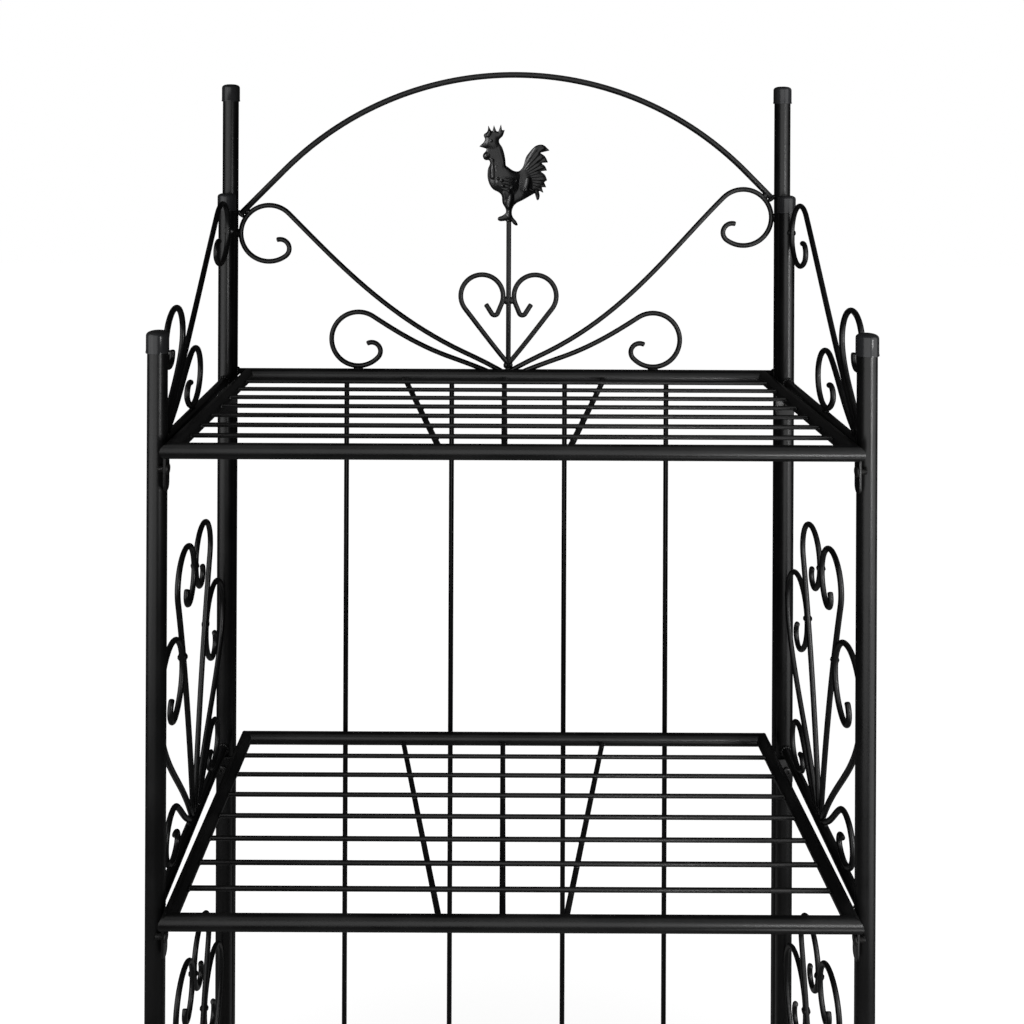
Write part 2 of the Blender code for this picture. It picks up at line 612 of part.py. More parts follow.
def heartMesh():
    """Two heart scrolls that grow from the stem that carries the rooster."""
    foot = topZ + ornamentFoot - rodRadius
    stem = rodBetween((STEM_SHIFT, backY, foot), (STEM_SHIFT, backY, topZ + STEM_TOP), rodRadius, WIRE_SIDES)
    centre = (HEART_RADIUS + SCROLL_DIAMETER + HEART_GAP, HEART_HEIGHT)
    lobe = scrollPath((0.0, ornamentFoot + rodRadius), centre, HEART_RADIUS, HEART_TURN)
    hearts = [backScroll(lobe, STEM_SHIFT, direction, "heart") for direction in (-1, 1)]
    return combine(stem, hearts, "UNION", "heart_stem")


def roosterMesh():
    """Flat cast rooster that stands on the stem."""
    curve = bpy.data.curves.new("rooster", "CURVE")
    curve.dimensions = "2D"
    curve.fill_mode = "BOTH"
    curve.resolution_u = OUTLINE_STEPS
    curve.extrude = ROOSTER_THICKNESS / 2
    spline = curve.splines.new("BEZIER")
    spline.use_cyclic_u = True
    spline.bezier_points.add(len(ROOSTER_OUTLINE) - 1)
    for knot, (across, up, pointed) in zip(spline.bezier_points, ROOSTER_OUTLINE):
        knot.co = (across * ROOSTER_SCALE, up * ROOSTER_SCALE, 0)
        knot.handle_left_type = "VECTOR" if pointed else "AUTO"
        knot.handle_right_type = "VECTOR" if pointed else "AUTO"
    return curveToMesh(curve, "rooster")


def buildBackPanel(stand, steel):
    place("back_arch", bentRod(archPoints(), ARCH_DIAMETER, "back_arch"), steel, stand)
    upperReach = backFaceX - rodRadius - UPPER_RADIUS
    lowerCentre = (LOWER_REACH, ornamentFoot + LOWER_RADIUS)
    lowerPath = scrollPath((LOWER_START, ornamentFoot), lowerCentre, LOWER_RADIUS, LOWER_TURN)
    underArch = (UPPER_RADIUS + rodRadius + archRodRadius + FIT_GAP) / math.cos(ARCH_TURN)
    for side, sign in (("left", -1), ("right", 1)):
        height = archEndHeight(upperReach - sign * ARCH_SHIFT) - underArch
        upperPath = scrollPath((UPPER_START, ornamentFoot), (upperReach, height), UPPER_RADIUS, UPPER_TURN)
        place("upper_scroll_" + side, backScroll(upperPath, 0, sign, "upper_scroll"), steel, stand)
        place("lower_scroll_" + side, backScroll(lowerPath, 0, sign, "lower_scroll"), steel, stand)
    place("heart_stem", heartMesh(), steel, stand)
    place("rooster", roosterMesh(), steel, stand, (STEM_SHIFT, backY, topZ + STEM_TOP), (math.pi / 2, 0, 0))
    bar = rodBetween((-backFaceX, backY, 0), (backFaceX, backY, 0), backBarRadius, RAIL_SIDES, "back_bar")
    place("back_bar_top", bar, steel, stand, (0, 0, topZ + BACK_BAR_RISE))
    place("back_bar_bottom", bar, steel, stand, (0, 0, tierHeights[0]))
    low = tierHeights[0] + backBarRadius + FIT_GAP
    high = topZ + BACK_BAR_RISE - backBarRadius - FIT_GAP
    rod = rodBetween((0, backY, low), (0, backY, high), BACK_ROD_DIAMETER / 2, BOLT_SIDES, "back_rod")
    for number, x in enumerate(BACK_ROD_PLACES, start=1):
        place(f"back_rod_{number}", rod, steel, stand, (x, 0, 0))


def main():
    clearScene()
    steel = makeMaterial("black_powder_coat", (0.012, 0.012, 0.013), 0.42, 0.0)
    plastic = makeMaterial("black_plastic", (0.016, 0.017, 0.019), 0.32, 0.0)
    hardware = makeMaterial("blackened_bolt", (0.02, 0.02, 0.021), 0.38, 0.4)
    stand = bpy.data.objects.new("plant_stand", None)
    bpy.context.collection.objects.link(stand)
    buildPosts(stand, steel)
    buildCapsAndFeet(stand, plastic)
    buildSidePanels(stand, steel)
    buildShelves(stand, steel)
    buildBolts(stand, hardware)
    buildBackPanel(stand, steel)


main()
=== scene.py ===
import json
import math

import bmesh
import bpy
from mathutils import Matrix, Vector, kdtree, noise
from mathutils.geometry import interpolate_bezier, intersect_point_line

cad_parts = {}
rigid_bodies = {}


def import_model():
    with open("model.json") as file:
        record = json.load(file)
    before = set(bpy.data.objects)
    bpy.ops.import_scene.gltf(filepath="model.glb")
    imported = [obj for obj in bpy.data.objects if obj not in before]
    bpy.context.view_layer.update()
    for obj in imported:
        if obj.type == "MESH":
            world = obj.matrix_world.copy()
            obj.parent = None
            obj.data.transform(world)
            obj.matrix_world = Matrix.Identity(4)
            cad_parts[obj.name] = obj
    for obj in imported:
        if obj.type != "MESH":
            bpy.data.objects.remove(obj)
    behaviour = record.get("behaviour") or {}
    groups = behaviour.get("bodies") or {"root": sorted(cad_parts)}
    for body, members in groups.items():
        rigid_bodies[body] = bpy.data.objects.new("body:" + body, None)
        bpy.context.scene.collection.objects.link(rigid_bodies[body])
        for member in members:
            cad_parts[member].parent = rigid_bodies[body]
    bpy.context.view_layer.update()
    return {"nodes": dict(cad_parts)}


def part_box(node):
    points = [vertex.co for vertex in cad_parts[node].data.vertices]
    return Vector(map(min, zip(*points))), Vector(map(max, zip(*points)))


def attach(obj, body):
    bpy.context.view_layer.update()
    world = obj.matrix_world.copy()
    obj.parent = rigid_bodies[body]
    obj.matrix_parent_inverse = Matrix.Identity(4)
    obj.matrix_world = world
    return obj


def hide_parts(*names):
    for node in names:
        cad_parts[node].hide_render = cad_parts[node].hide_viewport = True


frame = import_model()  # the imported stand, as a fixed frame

print("frame loaded:", len(frame["nodes"]), "nodes")


def middle(node):
    low, high = (Vector(corner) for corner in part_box(node))
    return (low + high) / 2


# where the posts and shelves stand, read from the frame
sides = (("left", "Left", -1), ("right", "Right", 1))
postX = middle("front_post_right").x
frontY = middle("front_post_left").y
rearY = middle("rear_post_left").y
backY = middle("back_post_left").y
sideBar = {"radius": 0.00475, "drop": 0.003, "sides": 24, "weldSize": 0.0016, "weldShift": 0.3,
           "weldCount": 13}
tierHeights = [middle(f"side_bar_{tier}_left").z + sideBar["drop"] for tier in (1, 2, 3)]
topZ = tierHeights[-1]

common = {"fitGap": 0.0003, "mergeDistance": 1e-6, "smoothAngle": math.radians(42), "cornerSteps": 6,
          "edgeSteps": 2}
axisX, axisY, axisZ = Vector((1, 0, 0)), Vector((0, 1, 0)), Vector((0, 0, 1))


# shader maths on sockets
class Shade:
    def __init__(self, tree, socket=None):
        self.tree = tree
        self.socket = socket

    def node(self, kind, settings=None, sockets=None, out=0):
        made = self.tree.nodes.new(kind)
        for name, value in (settings or {}).items():
            setattr(made, name, value)
        for key, value in (sockets or {}).items():
            if isinstance(value, Shade):
                self.tree.links.new(value.socket, made.inputs[key])
            else:
                made.inputs[key].default_value = value
        return Shade(self.tree, made.outputs[out] if made.outputs else None)

    def math(self, operation, first, second):
        return self.node("ShaderNodeMath", {"operation": operation}, {0: first, 1: second})

    def __add__(self, other):
        return self.math("ADD", self, other)

    def __radd__(self, other):
        return self.math("ADD", other, self)

    def __sub__(self, other):
        return self.math("SUBTRACT", self, other)

    def __rsub__(self, other):
        return self.math("SUBTRACT", other, self)

    def __mul__(self, other):
        return self.math("MULTIPLY", self, other)

    def __rmul__(self, other):
        return self.math("MULTIPLY", other, self)

    def clip(self, low, high):
        return self.node("ShaderNodeMapRange", {"interpolation_type": "SMOOTHSTEP"},
                         {"Value": self, "From Min": low, "From Max": high})

    def noise(self, scale, detail, roughness=0.5):
        return self.node("ShaderNodeTexNoise", None,
                         {"Vector": self, "Scale": scale, "Detail": detail, "Roughness": roughness})

    # from one colour to another; a Mix node's colours are its inputs 6 and 7 and its output 2
    def blend(self, first, second):
        ends = [end if isinstance(end, Shade) else (*end, 1.0) for end in (first, second)]
        return self.node("ShaderNodeMix", {"data_type": "RGBA"}, {0: self, 6: ends[0], 7: ends[1]}, 2)


def startTree(owner):
    owner.use_nodes = True
    owner.node_tree.nodes.clear()
    return Shade(owner.node_tree)


# what every finish of the stand shares
skin = {"patchDetail": 4.0, "patchRange": (0.35, 0.68), "patchHeight": 0.3, "patchMean": 0.5,
        "grainNoise": (2.0, 0.55), "speckNoise": (3.0, 0.6), "speckRoughness": 0.05,
        "dustFacing": (0.25, 1.0), "dustRange": (0.42, 0.70), "dustColour": (0.10, 0.098, 0.094),
        "dustRoughness": 0.5, "refraction": 1.5}


# a painted or moulded surface: grain in the skin, soft patches, rubbed places and dust on top
def makeFinish(name, look):
    material = bpy.data.materials.new(name)
    shade = startTree(material)
    place = shade.node("ShaderNodeTexCoord", out="Object")
    patches = place.noise(look["patchScale"], skin["patchDetail"])
    grain = place.noise(look["grainScale"], *skin["grainNoise"])
    specks = place.noise(look["speckScale"], *skin["speckNoise"]).clip(*look["speckRange"])
    facing = shade.node("ShaderNodeNewGeometry", out="Normal")
    up = shade.node("ShaderNodeSeparateXYZ", None, {0: facing}, "Z")
    dust = up.clip(*skin["dustFacing"]) * patches.clip(*skin["dustRange"]) * look["dust"]
    coat = patches.clip(*skin["patchRange"]).blend(look["dark"], look["light"])
    rubbed = (specks * look["speckShare"]).blend(coat, look["speckColour"])
    dusty = dust.blend(rubbed, skin["dustColour"])
    uneven = (patches - skin["patchMean"]) * look["roughnessSpread"]
    roughness = look["roughness"] + uneven + specks * skin["speckRoughness"] + dust * skin["dustRoughness"]
    height = grain + patches * skin["patchHeight"]
    normal = shade.node("ShaderNodeBump", None,
                        {"Strength": look["bump"], "Distance": look["bumpDepth"], "Height": height})
    surface = shade.node("ShaderNodeBsdfPrincipled", None, {
        "Base Color": dusty, "Roughness": roughness, "Metallic": look["metallic"], "Normal": normal,
        "Specular IOR Level": look["specular"], "IOR": skin["refraction"]})
    shade.node("ShaderNodeOutputMaterial", None, {"Surface": surface})
    return material


coatLook = {"dark": (0.0035, 0.0035, 0.0037), "light": (0.0070, 0.0070, 0.0073), "patchScale": 24.0,
            "grainScale": 620.0, "speckScale": 1500.0, "speckRange": (0.62, 0.74), "speckShare": 0.30,
            "speckColour": (0.020, 0.020, 0.021), "dust": 0.05, "roughness": 0.33, "roughnessSpread": 0.14,
            "bump": 0.20, "bumpDepth": 0.00025, "metallic": 0.0, "specular": 0.5}
castLook = {**coatLook, "grainScale": 950.0, "bump": 0.22, "roughness": 0.27, "patchScale": 60.0,
            "speckShare": 0.45, "light": (0.0095, 0.0095, 0.0098)}
plasticLook = {**coatLook, "dark": (0.0270, 0.0275, 0.0295), "light": (0.0360, 0.0366, 0.0392),
               "grainScale": 2100.0, "bump": 0.08, "bumpDepth": 0.0001, "roughness": 0.21,
               "roughnessSpread": 0.08, "speckColour": (0.055, 0.056, 0.060), "dust": 0.08}
boltLook = {**coatLook, "dark": (0.022, 0.022, 0.023), "light": (0.040, 0.039, 0.038), "grainScale": 1800.0,
            "patchScale": 320.0, "speckShare": 0.6, "speckColour": (0.16, 0.15, 0.14), "roughness": 0.30,
            "roughnessSpread": 0.22, "bump": 0.10, "bumpDepth": 0.00012, "metallic": 0.55}
powderCoat = makeFinish("satinPowderCoat", coatLook)
castCoat = makeFinish("castFigureCoat", castLook)
capPlastic = makeFinish("mouldedBlackPlastic", plasticLook)
boltFinish = makeFinish("blackenedBoltSteel", boltLook)


# tools for the pieces
lampGroups = {}  # which lamps light a piece: left, right, middle, rear, figure or floor


def lampGroup(node):
    if node == "rooster":
        return "figure"
    if node.startswith(("back_rod", "back_bar")):
        return "rear"
    ending = node.rsplit("_", 1)[-1]
    return ending if ending in ("left", "right") else "middle"


def newObject(builder, name, material):
    mesh = bpy.data.meshes.new(name)
    builder.to_mesh(mesh)
    builder.free()
    mesh.materials.append(material)
    made = bpy.data.objects.new(name, mesh)
    bpy.context.collection.objects.link(made)
    return made


def finishPiece(builder, name, material, node):
    bmesh.ops.remove_doubles(builder, verts=builder.verts, dist=common["mergeDistance"])
    bmesh.ops.recalc_face_normals(builder, faces=builder.faces)
    piece = newObject(builder, name, material)
    piece.data.shade_smooth()
    piece.data.set_sharp_from_angle(angle=common["smoothAngle"])
    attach(piece, "root")
    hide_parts(node)
    lampGroups[name] = lampGroup(node)


def vertsOf(geometry):
    return [item for item in geometry if isinstance(item, bmesh.types.BMVert)]


def rimOf(geometry):
    return [item for item in geometry if isinstance(item, bmesh.types.BMEdge) and item.is_boundary]


def edgesOf(verts):
    return list(dict.fromkeys(edge for vert in verts for edge in vert.link_edges))


# the upright axis through a node, from a height
def uprightAxis(node, z=0.0):
    centre = middle(node)
    return Matrix.Translation((centre.x, centre.y, z))


def spinProfile(builder, profile, place, steps):
    old = set(builder.verts)
    corners = [builder.verts.new((radius, 0.0, height)) for radius, height in profile]
    edges = [builder.edges.new(pair) for pair in zip(corners, corners[1:])]
    bmesh.ops.spin(builder, geom=corners + edges, cent=(0, 0, 0), axis=axisZ, angle=2 * math.pi,
                   steps=steps, use_merge=True)
    bmesh.ops.transform(builder, matrix=place, verts=[vert for vert in builder.verts if vert not in old])


tip = {"reach": (0.0, 0.10, 0.40), "share": (0.62, 0.88, 1.0)}  # softened cut end of a rod, in radii


# a round rod along a path that lies flat in a plane
def rodAlong(builder, path, radius, plane, steps):
    last = len(path) - 1
    stations = []
    for index, point in enumerate(path):
        heading = (path[min(index + 1, last)] - path[max(index - 1, 0)]).normalized()
        stations.append((point, heading, 1.0))
    ends = [(radius * reach, share) for reach, share in zip(tip["reach"], tip["share"])]
    first, final = stations[0], stations[-1]
    stations[:1] = [(first[0] + first[1] * reach, first[1], share) for reach, share in ends]
    stations[-1:] = [(final[0] - final[1] * reach, final[1], share) for reach, share in reversed(ends)]
    places = []
    for point, heading, share in stations:
        turn = Matrix((plane, heading.cross(plane), heading)).transposed().to_4x4()
        places.append(Matrix.Translation(point) @ turn @ Matrix.Diagonal((share, share, 1, 1)))
    ring = bmesh.ops.create_circle(builder, segments=steps, radius=radius, matrix=places[0])["verts"]
    edges = edgesOf(ring)
    bmesh.ops.edgeloop_fill(builder, edges=edges)
    for before, after in zip(places, places[1:]):
        made = bmesh.ops.extrude_edge_only(builder, edges=edges)["geom"]
        edges = rimOf(made)
        bmesh.ops.transform(builder, matrix=after @ before.inverted(), verts=vertsOf(made))
    bmesh.ops.edgeloop_fill(builder, edges=edges)


weld = {"around": 8, "rows": 5, "spread": 0.30, "noiseScale": 610.0, "seed": 1}
noise.seed_set(weld["seed"])  # so that the lumps come out the same in each run


# one lump of weld, of uneven size and turn
def weldDrop(builder, point, size, stretch=(1, 1, 1)):
    uneven = noise.noise_vector(point * weld["noiseScale"])
    sizes = [size * share * (1 + weld["spread"] * part) for share, part in zip(stretch, uneven)]
    turn = Matrix.Rotation(uneven.x * math.pi, 4, "Z") @ Matrix.Rotation(uneven.y, 4, "X")
    place = Matrix.Translation(point) @ Matrix.Diagonal((*sizes, 1)) @ turn
    bmesh.ops.create_uvsphere(builder, u_segments=weld["around"], v_segments=weld["rows"], radius=1.0,
                              matrix=place)


def weldRing(builder, centre, axis, radius, size, count):
    across = axis.orthogonal().normalized()
    beside = axis.cross(across)
    for index in range(count):
        angle = 2 * math.pi * index / count
        weldDrop(builder, centre + radius * (math.cos(angle) * across + math.sin(angle) * beside), size)


# where two bent rods touch, as the middle of their nearest points above a height
def touchPoint(first, second, lowest):
    pairs = [((one - two).length, (one + two) / 2) for one in first for two in second
             if one.z > lowest and two.z > lowest]
    return min(pairs, key=lambda pair: pair[0])


def bevelEdges(builder, edges, offset, steps):
    return bmesh.ops.bevel(builder, geom=edges, offset=offset, segments=steps, profile=0.5, affect="EDGES",
                           material=-1)["verts"]


# a flat bar with softened edges, and round corners at the edges that isCorner picks
def plate(builder, low, high, edge, isCorner=None, corner=0.0):
    low, high = Vector(low), Vector(high)
    place = Matrix.Translation((low + high) / 2) @ Matrix.Diagonal((*(high - low), 1.0))
    made = list(bmesh.ops.create_cube(builder, size=1.0, matrix=place)["verts"])
    if isCorner:
        chosen = [line for line in edgesOf(made) if isCorner(line)]
        made += bevelEdges(builder, chosen, corner, common["cornerSteps"])
    lines = edgesOf(vert for vert in made if vert.is_valid)
    sharp = [line for line in lines if line.calc_face_angle(0.0) > common["smoothAngle"]]
    bevelEdges(builder, sharp, edge, common["edgeSteps"])


# posts
post = {"radius": 0.008, "wall": 0.0012, "lip": 0.0003, "steps": 48}


def makePost(node, name):
    bottom, top = (corner[2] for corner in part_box(node))
    radius, bore, lip = post["radius"], post["radius"] - post["wall"], post["lip"]
    outside = [(radius - lip, top), (radius, top - lip), (radius, bottom + lip), (radius - lip, bottom)]
    inside = [(bore + lip, bottom), (bore, bottom + lip), (bore, top - lip), (bore + lip, top)]
    builder = bmesh.new()
    spinProfile(builder, outside + inside + outside[:1], uprightAxis(node), post["steps"])
    finishPiece(builder, name, powderCoat, node)


for row in ("front", "rear", "back"):
    for side, title, sign in sides:
        makePost(f"{row}_post_{side}", f"{row}Post{title}")
print("posts made")

# caps and feet
cap = {"radius": 0.0092, "bore": 0.0083, "skirt": 0.014, "crown": 0.0035, "shoulder": 0.0010,
       "lipHeight": 0.001375, "lipBlend": 0.00176, "lipStep": 0.00022, "edge": 0.0002, "domeSteps": 10,
       "domeShare": 0.72, "gateRadius": 0.0011, "gateDepth": 0.00025, "steps": 56}


def makeCap(node, name):
    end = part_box(node)[1][2] - cap["crown"]  # height of the post's end
    radius, bore, edge, rim = cap["radius"], cap["bore"], cap["edge"], -cap["skirt"]
    wall = radius - cap["lipStep"]
    dome = []
    for step in range(cap["domeSteps"]):
        angle = math.pi / 2 * (step + 0.5) / cap["domeSteps"]
        rise = (cap["crown"] + cap["shoulder"]) * math.cos(angle) ** cap["domeShare"]
        dome.append((wall * math.sin(angle) ** cap["domeShare"], rise - cap["shoulder"]))
    gateTop = cap["crown"] - cap["gateDepth"]
    gate = [(0.0, gateTop), (cap["gateRadius"], gateTop)]
    lip = [(wall, rim + cap["lipBlend"]), (radius, rim + cap["lipHeight"]), (radius, rim + edge),
           (radius - edge, rim), (bore + edge, rim), (bore, rim + edge)]
    inside = [(bore, common["fitGap"]), (0.0, common["fitGap"])]
    builder = bmesh.new()
    spinProfile(builder, gate + dome + lip + inside, uprightAxis(node, end), cap["steps"])
    finishPiece(builder, name, capPlastic, node)


foot = {"radius": 0.0095, "bore": 0.0083, "height": 0.018, "sole": 0.004, "flange": 0.0055, "neck": 0.0091,
        "hollowDepth": 0.0006, "hollowInner": 0.005225, "hollowOuter": 0.0057, "soleRound": 0.0009,
        "soleBulge": 0.0003, "flangeRound": 0.0008, "flangeEdge": 0.0002, "topRound": 0.0005,
        "topEdge": 0.0003, "ribs": 3, "ribStart": 0.0012, "ribPitch": 0.0031, "ribHeight": 0.0020,
        "ribSlope": 0.0006, "ribDepth": 0.00022, "steps": 56}


def makeFoot(node, name):
    radius, bore, neck = foot["radius"], foot["bore"], foot["neck"]
    flange, height = foot["flange"], foot["height"]
    sole = [(0.0, foot["hollowDepth"]), (foot["hollowInner"], foot["hollowDepth"]),
            (foot["hollowOuter"], 0.0), (radius - foot["soleRound"], 0.0),
            (radius - foot["soleBulge"], foot["soleBulge"]),
            (radius, foot["soleRound"]), (radius, flange - foot["flangeRound"]),
            (radius - foot["flangeEdge"], flange)]
    ribs = []
    for rib in range(foot["ribs"]):
        base = flange + foot["ribStart"] + rib * foot["ribPitch"]
        crest = neck + foot["ribDepth"]
        ribs += [(neck, base), (crest, base + foot["ribSlope"]),
                 (crest, base + foot["ribHeight"] - foot["ribSlope"]), (neck, base + foot["ribHeight"])]
    top = [(neck, height - foot["topRound"]), (neck - foot["topEdge"], height), (bore, height),
           (bore, foot["sole"]), (0.0, foot["sole"])]
    builder = bmesh.new()
    spinProfile(builder, sole + ribs + top, uprightAxis(node), foot["steps"])
    finishPiece(builder, name, capPlastic, node)


for side, title, sign in sides:
    for row in ("front", "rear", "back"):
        makeCap(f"{row}_cap_{side}", f"{row}Cap{title}")
    for row in ("front", "rear"):
        makeFoot(f"{row}_foot_{side}", f"{row}Foot{title}")
print("caps and feet made")

# scrolls: a stem from its foot, a curl round its centre and a hook at the tip
scroll = {"radius": 0.0025, "steps": 14, "stemSteps": 26, "curlSteps": 40, "hookSteps": 14,
          "stemPull": 0.40, "curlPull": 0.30, "hookShare": 0.33, "hookSweep": math.radians(165)}
# their welds: sizes, and how far each kind is drawn out along x, y and z
scrollWeld = {"bead": 0.0027, "touch": 0.0030, "postInset": 0.0012, "foot": (1.0, 1.25, 0.75),
              "onBar": (1, 1.5, 0.55), "fanOnPost": (1, 0.55, 1.5), "sprayOnPost": (1.6, 0.7, 1.3),
              "between": (1.5, 1.3, 1.25)}


def arcPoints(centre, radius, start, sweep, count):
    angles = [start + sweep * (step + 1) / count for step in range(count)]
    return [centre + radius * Vector((math.cos(angle), math.sin(angle))) for angle in angles]


def scrollPath(base, curl):
    base, centre, radius = Vector(base), Vector(curl["centre"]), curl["radius"]
    lean, start, sweep = (math.radians(angle) for angle in curl["turn"])
    first = centre + radius * Vector((math.cos(start), math.sin(start)))
    heading = math.copysign(1.0, sweep) * Vector((-math.sin(start), math.cos(start)))
    chord = (first - base).length
    leave = base + scroll["stemPull"] * chord * Vector((math.cos(lean), math.sin(lean)))
    arrive = first - scroll["curlPull"] * chord * heading
    stem = interpolate_bezier(base, leave, arrive, first, scroll["stemSteps"])
    bend = arcPoints(centre, radius, start, sweep, scroll["curlSteps"])
    onward = (bend[-1] - bend[-2]).normalized()
    hookShare = curl.get("hookShare", scroll["hookShare"])
    hookCentre = bend[-1].lerp(centre, hookShare) + curl.get("hookLead", 0.0) * onward
    hookSweep = math.copysign(curl.get("hookSweep", scroll["hookSweep"]), sweep)
    hook = arcPoints(hookCentre, hookShare * radius, start + sweep, hookSweep, scroll["hookSteps"])
    if "hookRun" in curl:
        hook.append(hook[-1] + curl["hookRun"] * (hook[-1] - hook[-2]).normalized())
    return stem + bend + hook


# side panels
panelStart = frontY + post["radius"] + common["fitGap"]
panelEnd = rearY - post["radius"] - common["fitGap"]
scrollFoot = sideBar["radius"] + common["fitGap"] + scroll["radius"]
fan = {"footPitch": 0.0058, "touchLimit": 0.0085, "partHeight": 0.05, "lowCurlDrop": 0.0105,
       "heart": {"radius": 0.0280, "height": 0.2250, "turn": (80, -20, 256)},
       "curl": {"radius": 0.0345, "height": 0.1560, "turn": (57, 0, 250)},
       "low": {"radius": 0.0208, "reach": 0.0715, "turn": (30, 125, -255)}}
spray = {"start": 0.0145, "footPitch": 0.0080,
         "lean": {"left": math.radians(1.5), "right": math.radians(1.0)},
         "loop": {"radius": 0.0265, "height": 0.0775, "reach": 0.0425, "turn": (50, -20, 235)},
         "long": {"radius": 0.0290, "height": 0.1500, "turn": (42, 135, -262)},
         "low": {"radius": 0.0250, "reach": 0.1110, "turn": (25, 120, -260)}}


def makeSideBar(node, name):
    centre = middle(node)
    ends = [Vector((centre.x, y, centre.z)) for y in (panelStart, panelEnd)]
    builder = bmesh.new()
    rodAlong(builder, ends, sideBar["radius"], axisX, sideBar["sides"])
    for end, inward in zip(ends, (1, -1)):
        beside = end + axisY * inward * sideBar["weldSize"] * sideBar["weldShift"]
        weldRing(builder, beside, axisY, sideBar["radius"], sideBar["weldSize"], sideBar["weldCount"])
    finishPiece(builder, name, powderCoat, node)


def standUp(path, x, startY, barZ, direction):
    return [Vector((x, startY + direction * along, barZ + up)) for along, up in path]


def footWelds(builder, rods):
    for rod in rods:
        weldDrop(builder, rod[0] - axisZ * scroll["radius"], scrollWeld["bead"], scrollWeld["foot"])


def makeFan(node, name, x, barZ, rearDrop):
    centreY = (frontY + rearY) / 2
    halfPanel = (panelEnd - panelStart) / 2
    lobe, curl, low = fan["heart"], fan["curl"], fan["low"]
    lobeCentre = (lobe["radius"] + fan["footPitch"] / 2, lobe["height"])
    curlReach = halfPanel - scroll["radius"] - curl["radius"]
    lowCentre = (low["reach"], scrollFoot + low["radius"])
    builder = bmesh.new()
    halves = []
    for direction, drop in ((-1, 0.0), (1, rearDrop)):
        curlHeight = curl["height"] - drop
        rods = []
        for form, centre in ((lobe, lobeCentre), (curl, (curlReach, curlHeight)), (low, lowCentre)):
            base = (fan["footPitch"] * (len(rods) + 0.5), scrollFoot)
            path = scrollPath(base, {**form, "centre": centre})
            rods.append(standUp(path, x, centreY, barZ, direction))
            rodAlong(builder, rods[-1], scroll["radius"], axisX, scroll["steps"])
        footWelds(builder, rods)
        halves.append(rods)
        # the curl is welded to its post, the low curl to the bar
        postY = centreY + direction * (halfPanel - scrollWeld["postInset"])
        postSpot = Vector((x, postY, barZ + curlHeight))
        weldDrop(builder, postSpot, scrollWeld["touch"], scrollWeld["fanOnPost"])
        lowSpot = Vector((x, centreY + direction * low["reach"], barZ + sideBar["radius"]))
        weldDrop(builder, lowSpot, scrollWeld["touch"], scrollWeld["onBar"])
    for first, second in ((halves[0][0], halves[1][0]), halves[0][:2], halves[1][:2]):
        distance, point = touchPoint(first, second, barZ + fan["partHeight"])  # the rods part above there
        if distance < fan["touchLimit"]:
            weldDrop(builder, point, scrollWeld["touch"], scrollWeld["between"])
    finishPiece(builder, name, powderCoat, node)


def makeSpray(node, name, x, barZ, lean):
    loop, long, low = spray["loop"], spray["long"], spray["low"]
    longReach = panelEnd - frontY - scroll["radius"] - long["radius"]
    centres = ((loop, (loop["reach"], loop["height"])), (long, (longReach, long["height"])),
               (low, (low["reach"], scrollFoot + low["radius"])))
    builder = bmesh.new()
    rods = []
    for number, (form, centre) in enumerate(centres):
        base = (spray["start"] + spray["footPitch"] * number, scrollFoot)
        path = scrollPath(base, {**form, "centre": centre})
        rods.append(standUp(path, x, frontY, barZ, 1))
        rodAlong(builder, rods[-1], scroll["radius"], axisX, scroll["steps"])
    footWelds(builder, rods)
    lowSpot = Vector((x, frontY + low["reach"], barZ + sideBar["radius"]))
    weldDrop(builder, lowSpot, scrollWeld["touch"], scrollWeld["onBar"])
    postSpot = Vector((x, panelEnd - scrollWeld["postInset"], barZ + long["height"]))
    weldDrop(builder, postSpot, scrollWeld["touch"], scrollWeld["sprayOnPost"])
    bmesh.ops.rotate(builder, cent=(x, 0, barZ), matrix=Matrix.Rotation(lean, 3, "Y"), verts=builder.verts)
    finishPiece(builder, name, powderCoat, node)


for side, title, sign in sides:
    for tier, height in enumerate(tierHeights, start=1):
        makeSideBar(f"side_bar_{tier}_{side}", f"sideBar{tier}{title}")
        barHeight = height - sideBar["drop"]
        if height < topZ:
            makeFan(f"side_fan_{tier}_{side}", f"sideFan{tier}{title}", sign * postX, barHeight,
                    fan["lowCurlDrop"] if (side, tier) == ("left", 2) else 0.0)
        else:
            makeSpray(f"side_spray_{side}", f"sideSpray{title}", sign * postX, barHeight,
                      spray["lean"][side])
print("side panels made")

# shelves
rail = {"radius": 0.00635, "skin": 0.0062, "steps": 28, "overhang": 0.017, "rearTaper": 0.0055,
        "beadReach": 0.0016, "beadRise": 1.02}
lug = {"thickness": 0.002, "drop": 0.034, "round": 0.0057, "rearRound": 0.003, "edge": 0.00035,
       "topDrop": 0.0005, "frontStart": 0.0135, "frontEnd": 0.0015, "rearInset": 0.005, "neckDrop": 0.002,
       "level": 0.001}
lugWeld = {"size": 0.0017, "shares": (0.15, 0.38, 0.62, 0.85), "front": (0.8, 1.3, 0.8), "frontDepth": 0.8,
           "rear": (1.1, 0.6, 1.1), "rearStart": 0.2, "rearSink": 0.0003, "rearFall": 0.006}
wire = {"radius": 0.002, "sink": 0.0022, "count": 7, "endShare": 1.12, "steps": 12, "spotSize": 0.0021,
        "endDrop": 0.0006, "endStretch": (0.7, 1.3, 0.8), "crossStretch": (1.3, 1.3, 0.6)}
bearer = {"radius": 0.0025, "frontSpread": 0.0495, "rearSpread": 0.0992, "frontShift": -0.0062,
          "rearShift": -0.0015, "sink": 0.0005, "endStretch": (1.5, 0.7, 1.0)}
backRod = {"radius": 0.0025, "steps": 14, "weldSize": 0.0021, "weldReach": 0.8,
           "weldStretch": (0.8, 0.8, 0.7)}
